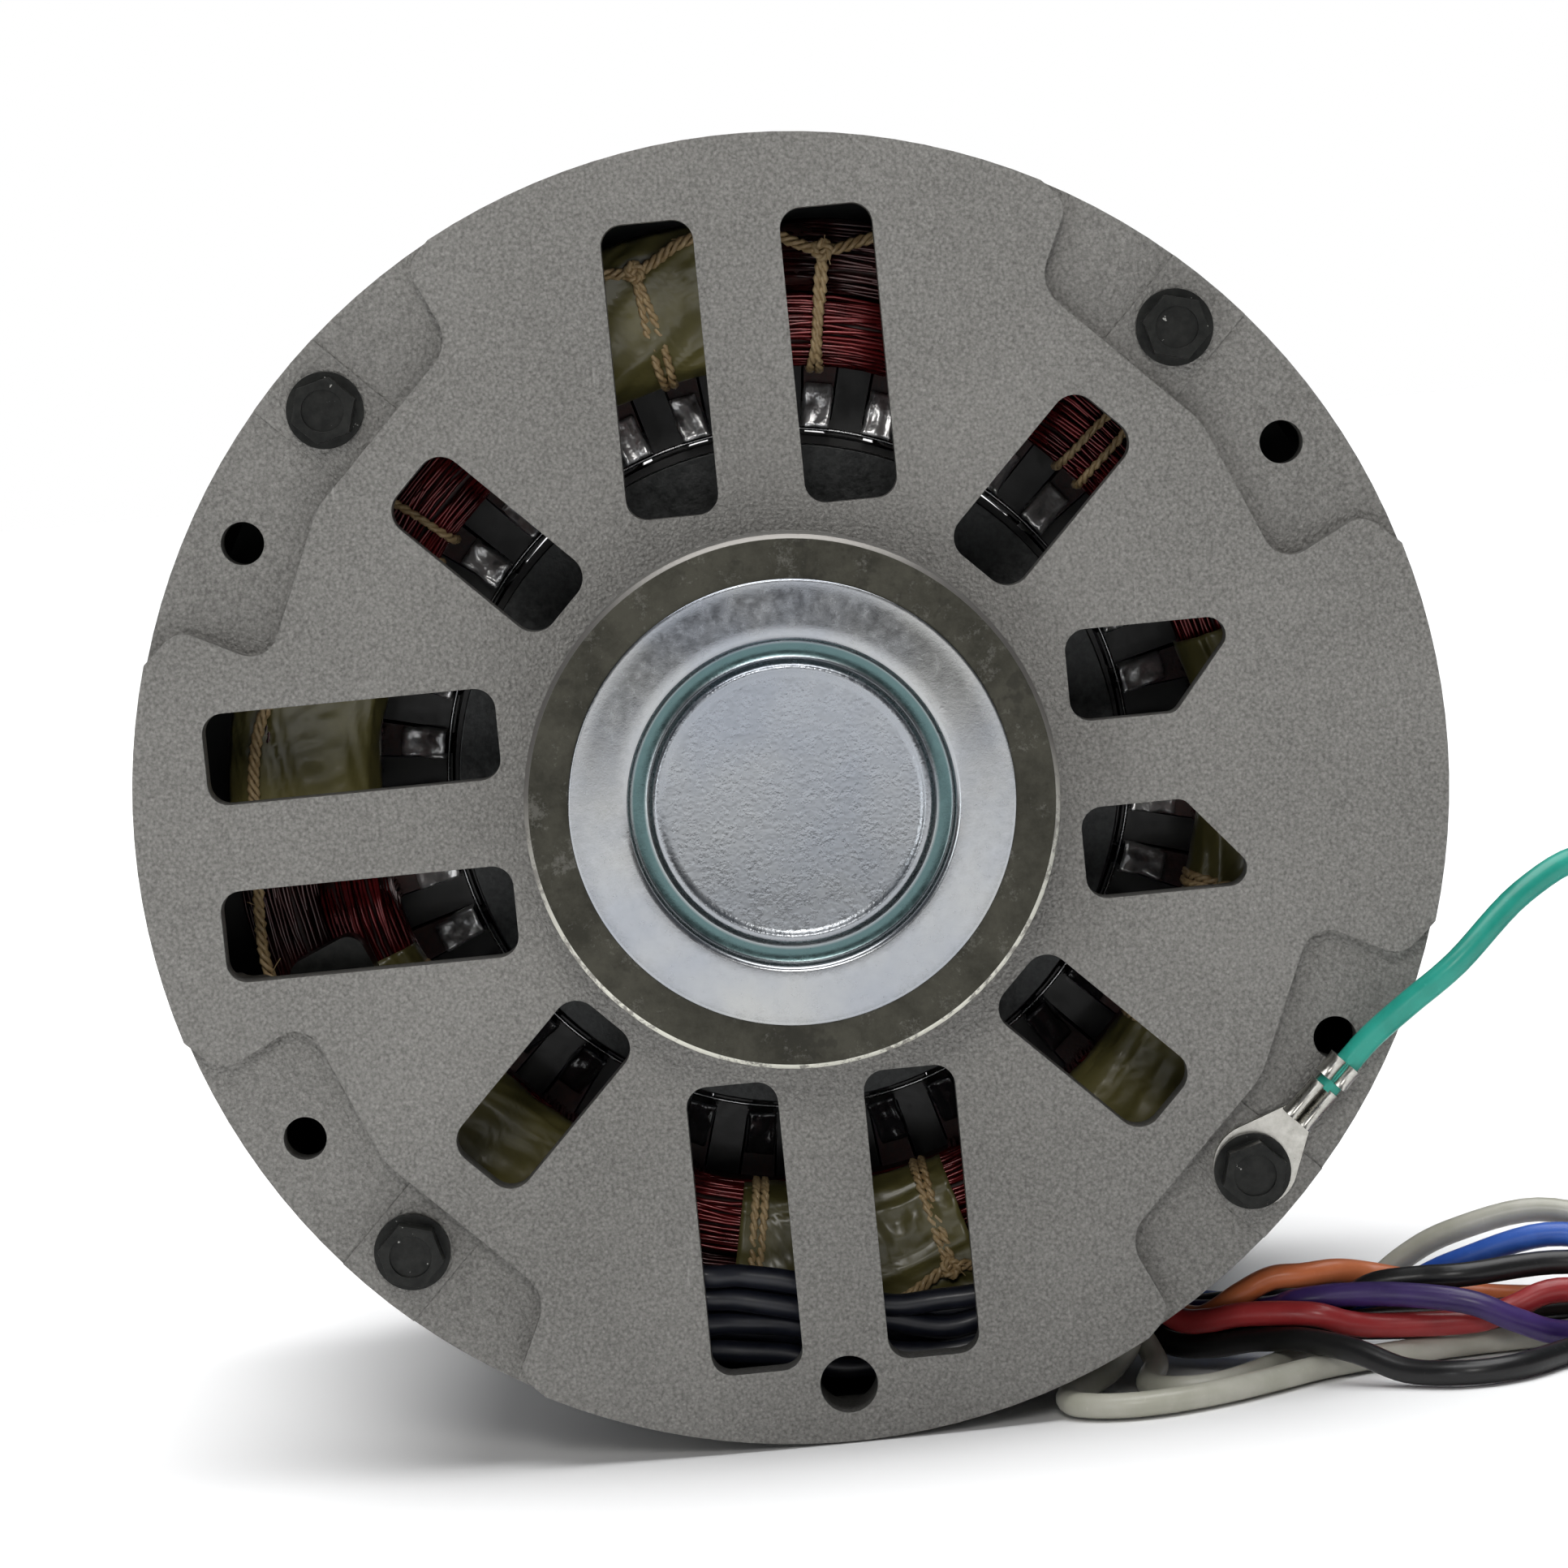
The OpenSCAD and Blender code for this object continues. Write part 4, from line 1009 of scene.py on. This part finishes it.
def bearing_cap():
    """The cap: its profile turned about the shaft, with a small thickness."""
    profile = cap_profile()
    steps = 192
    columns = len(profile) - 1
    vertices = [at(radius, 360 * i / steps, s) for i in range(steps) for radius, s in profile[1:]]
    vertices.append(at(0, 0, profile[0][1]))
    middle = steps * columns
    faces = []
    for i in range(steps):
        k = (i + 1) % steps
        faces.append((middle, i * columns, k * columns))
        for j in range(columns - 1):
            faces.append((i * columns + j, i * columns + j + 1, k * columns + j + 1, k * columns + j))
    piece = new_mesh("bearing_cap_lead_end", vertices, faces, ZINC)
    thicken(piece, 0.3)
    stand_for(piece, "zinc_plate", "lead_end_cap")


bearing_cap()

# ---- Earth lead's terminal ----

TERMINAL_PLACE = Vector((46.17, -109.4, -46.17)) * MM
TERMINAL_TURN = Matrix((TERMINAL_AXIS, Vector((-TERMINAL_AXIS.z, 0, TERMINAL_AXIS.x)),
                        Vector((0, -1, 0)))).transposed()


def ring_outline():
    """The ring, set a little towards the barrel, and its tapering neck."""
    middle, ring_r = 0.6, 4.6
    neck_x, neck_y = 7.9, 1.7
    reach = math.hypot(neck_x - middle, neck_y)
    start = math.degrees(math.atan2(neck_y, neck_x - middle) + math.acos(ring_r / reach))
    return [(neck_x, neck_y)] + arc_points((middle, 0), ring_r, start, 360 - start, 48) + [(neck_x, -neck_y)]


def skin(mesh, rings):
    """Faces between each ring of vertices and the next."""
    for a, b in zip(rings, rings[1:]):
        for i in range(len(a)):
            k = (i + 1) % len(a)
            mesh.faces.new((a[i], b[i], b[k], a[k]))


def add_solid(mesh, rings):
    """Adds the solid that these rings of vertices run along, with its two end faces."""
    skin(mesh, rings)
    mesh.faces.new(rings[0])
    mesh.faces.new(rings[-1][::-1])


def add_plate(mesh, outline, low, high):
    """Adds a plate with this outline."""
    add_solid(mesh, [[mesh.verts.new((x, y, z)) for x, y in outline] for z in (low, high)])


def add_frame(mesh, inner, outer, low, high):
    """Adds the solid between two outlines that have as many points."""
    rings = [[mesh.verts.new((x, y, z)) for x, y in outline]
             for outline, z in ((inner, low), (outer, low), (outer, high), (inner, high))]
    skin(mesh, rings + rings[:1])


def solid_piece(name, mesh, place, material):
    """A piece from solids in millimetres, set in place, with small rounds on its edges."""
    bmesh.ops.recalc_face_normals(mesh, faces=mesh.faces)
    data = bpy.data.meshes.new(name)
    mesh.to_mesh(data)
    mesh.free()
    data.shade_smooth()
    data.transform(place @ Matrix.Scale(MM, 4))
    piece = add_object(name, data)
    paint_with(piece, material)
    round_edges(piece, 0.12, 2, 40)
    return piece


def crimp_section(width, height, dip, steps=14):
    """The section of a closed crimp: a round bottom, and two wings rolled in to the middle."""
    section = [(width * x, 0.35 * height * (1 + z)) for x, z in arc_points((0, 0), 1, 180, 360, steps)]
    lobe = width / 2
    for side in (1, -1):
        for i in range(steps + 1):
            a = math.pi * i / steps
            x = side * lobe + lobe * math.cos(a)
            z = 0.55 * height + 0.45 * height * math.sin(a)
            section.append((x, z if 0 < i < steps or abs(x) > lobe else height * (1 - dip)))
    return section


def crimp(mesh, start, finish, width, height, dip):
    """Adds one closed crimp, a little flared at both ends."""
    section = crimp_section(width, height, dip)
    stations = [(start, 1.06), (start + 0.5, 1.0), ((start + finish) / 2, 0.98), (finish - 0.5, 1.0),
                (finish, 1.07)]
    add_solid(mesh, [[mesh.verts.new((x, y * k, z * k)) for y, z in section] for x, k in stations])


def ring_terminal():
    """The earth lead's terminal: ring and neck, a crimp on the wire, and one on the insulation."""
    mesh = bmesh.new()
    ring = ring_outline()
    hole = arc_points((0, 0), 2.25, 0, 360, len(ring))[:-1]
    add_frame(mesh, hole, ring, 0.0, 0.8)
    add_plate(mesh, [(11.8, -1.3), (13.4, -1.3), (13.4, 1.3), (11.8, 1.3)], 0.0, 0.6)
    crimp(mesh, 7.3, 12.2, 1.8, 3.5, 0.3)
    crimp(mesh, 13.1, 15.7, 1.95, 3.95, 0.12)
    place = Matrix.Translation(TERMINAL_PLACE) @ TERMINAL_TURN.to_4x4()
    stand_for(solid_piece("ring_terminal", mesh, place, TIN), "tinned", "ground_terminal")


ring_terminal()

# ---- Strap round the coil of leads ----

STRAP_ANGLE = math.radians(34.5)
STRAP_OUT = Vector((math.cos(STRAP_ANGLE), math.sin(STRAP_ANGLE), 0))
STRAP_MIDDLE = (Vector((*COIL_MIDDLE, -66.9)) + STRAP_OUT * 41.0) * MM
STRAP_HALF_WIDTH = 1.8
# Outlines (outward, up) and half widths: the locking head's base and two bridges, and the cut tail
STRAP_HEAD = (([(8.0, 4.4), (13.6, 4.4), (13.6, 5.2), (8.0, 5.2)], 2.5),
              ([(8.6, 5.1), (10.0, 5.1), (10.3, 6.4), (8.9, 6.7)], 2.5),
              ([(12.2, 5.1), (13.6, 5.1), (13.3, 6.3), (12.5, 6.3)], 2.5),
              ([(10.6, 5.1), (11.3, 5.1), (11.9, 9.4), (11.2, 9.6)], 1.7))


def strap_section(reach, rise, corner):
    """A rounded loop across the coil: (outward, up) from the middle of the coil's section."""
    out = []
    for i, (side, top) in enumerate(((1, 1), (-1, 1), (-1, -1), (1, -1))):
        middle = (side * (reach - corner), top * (rise - corner))
        out += arc_points(middle, corner, 90 * i, 90 * i + 90)
    return out


def coil_strap():
    """A nylon strap with its locking head and cut tail, drawn round the coiled leads."""
    mesh = bmesh.new()
    inner = strap_section(17.0, 4.0, 2.6)
    outer = strap_section(17.55, 4.5, 3.1)
    add_frame(mesh, inner, outer, -STRAP_HALF_WIDTH, STRAP_HALF_WIDTH)
    for outline, half_width in STRAP_HEAD:
        add_plate(mesh, outline, -half_width, half_width)
    up = Vector((0, 0, 1))
    turn = Matrix((STRAP_OUT, up, STRAP_OUT.cross(up))).transposed()
    place = Matrix.Translation(STRAP_MIDDLE) @ turn.to_4x4()
    stand_for(solid_piece("coil_strap", mesh, place, NYLON), "tie", "coil_tie")


coil_strap()

# ---- Stage and light ----


def make_floor():
    """The white table that the motor and its leads lie on."""
    half = 6.0
    z = TABLE_Z * MM - 0.0002
    corners = [(-half, -half, z), (half, -half, z), (half, half, z), (-half, half, z)]
    floor = new_mesh("floor", corners, [(0, 1, 2, 3)], floor_paper())


def make_light(kind, name, power, place, target=(0, 0, 0), **settings):
    """A light at a place, turned to its target."""
    data = bpy.data.lights.new(name, kind)
    data.energy = power
    for key, value in settings.items():
        setattr(data, key, value)
    light = add_object(name, data)
    light.location = place
    light.rotation_euler = (Vector(target) - light.location).to_track_quat("-Z", "Y").to_euler()


def make_world():
    """White behind the motor, and a soft dim studio, brighter below, for everything else."""
    world = bpy.data.worlds.new("world")
    world.use_nodes = True
    tree = world.node_tree
    backdrop = tree.nodes["Background"]
    backdrop.inputs["Color"].default_value = (1, 1, 1, 1)
    kinds = ("TexCoord", "SeparateXYZ", "ValToRGB", "Background", "LightPath", "MixShader")
    place, parts, ramp, studio, path, mix = [tree.nodes.new("ShaderNode" + kind) for kind in kinds]
    tones = ((0.0, (0.38, 0.37, 0.36, 1)), (0.5, (0.2, 0.22, 0.26, 1)))
    for element, (position, colour) in zip(ramp.color_ramp.elements, tones):
        element.position = position
        element.color = colour
    studio.inputs["Strength"].default_value = 0.4
    links = ((place.outputs["Generated"], parts.inputs[0]), (parts.outputs[2], ramp.inputs[0]),
             (ramp.outputs[0], studio.inputs["Color"]), (path.outputs["Is Camera Ray"], mix.inputs[0]),
             (studio.outputs[0], mix.inputs[1]), (backdrop.outputs[0], mix.inputs[2]),
             (mix.outputs[0], tree.nodes["World Output"].inputs[0]))
    for output, target in links:
        tree.links.new(output, target)
    SCENE.world = world


make_floor()
# The first is very wide and keeps the floor white
make_light("SUN", "overhead", 3.9, (0, 0, 2), angle=math.radians(62))
make_light("AREA", "key", 2.4, (-0.02, -1.05, 0.46), (0, -0.1, 0), size=0.25, color=(1.0, 0.98, 0.95))
make_light("AREA", "fill", 0.9, (-0.6, -1.0, 0.08), (0, -0.1, 0), size=0.25, color=(0.95, 0.98, 1.0))
make_light("AREA", "back", 7.0, (-0.7, 1.2, 0.7), size=0.9, color=(1.0, 0.99, 0.97))
make_world()
SCENE.view_settings.view_transform = "Standard"
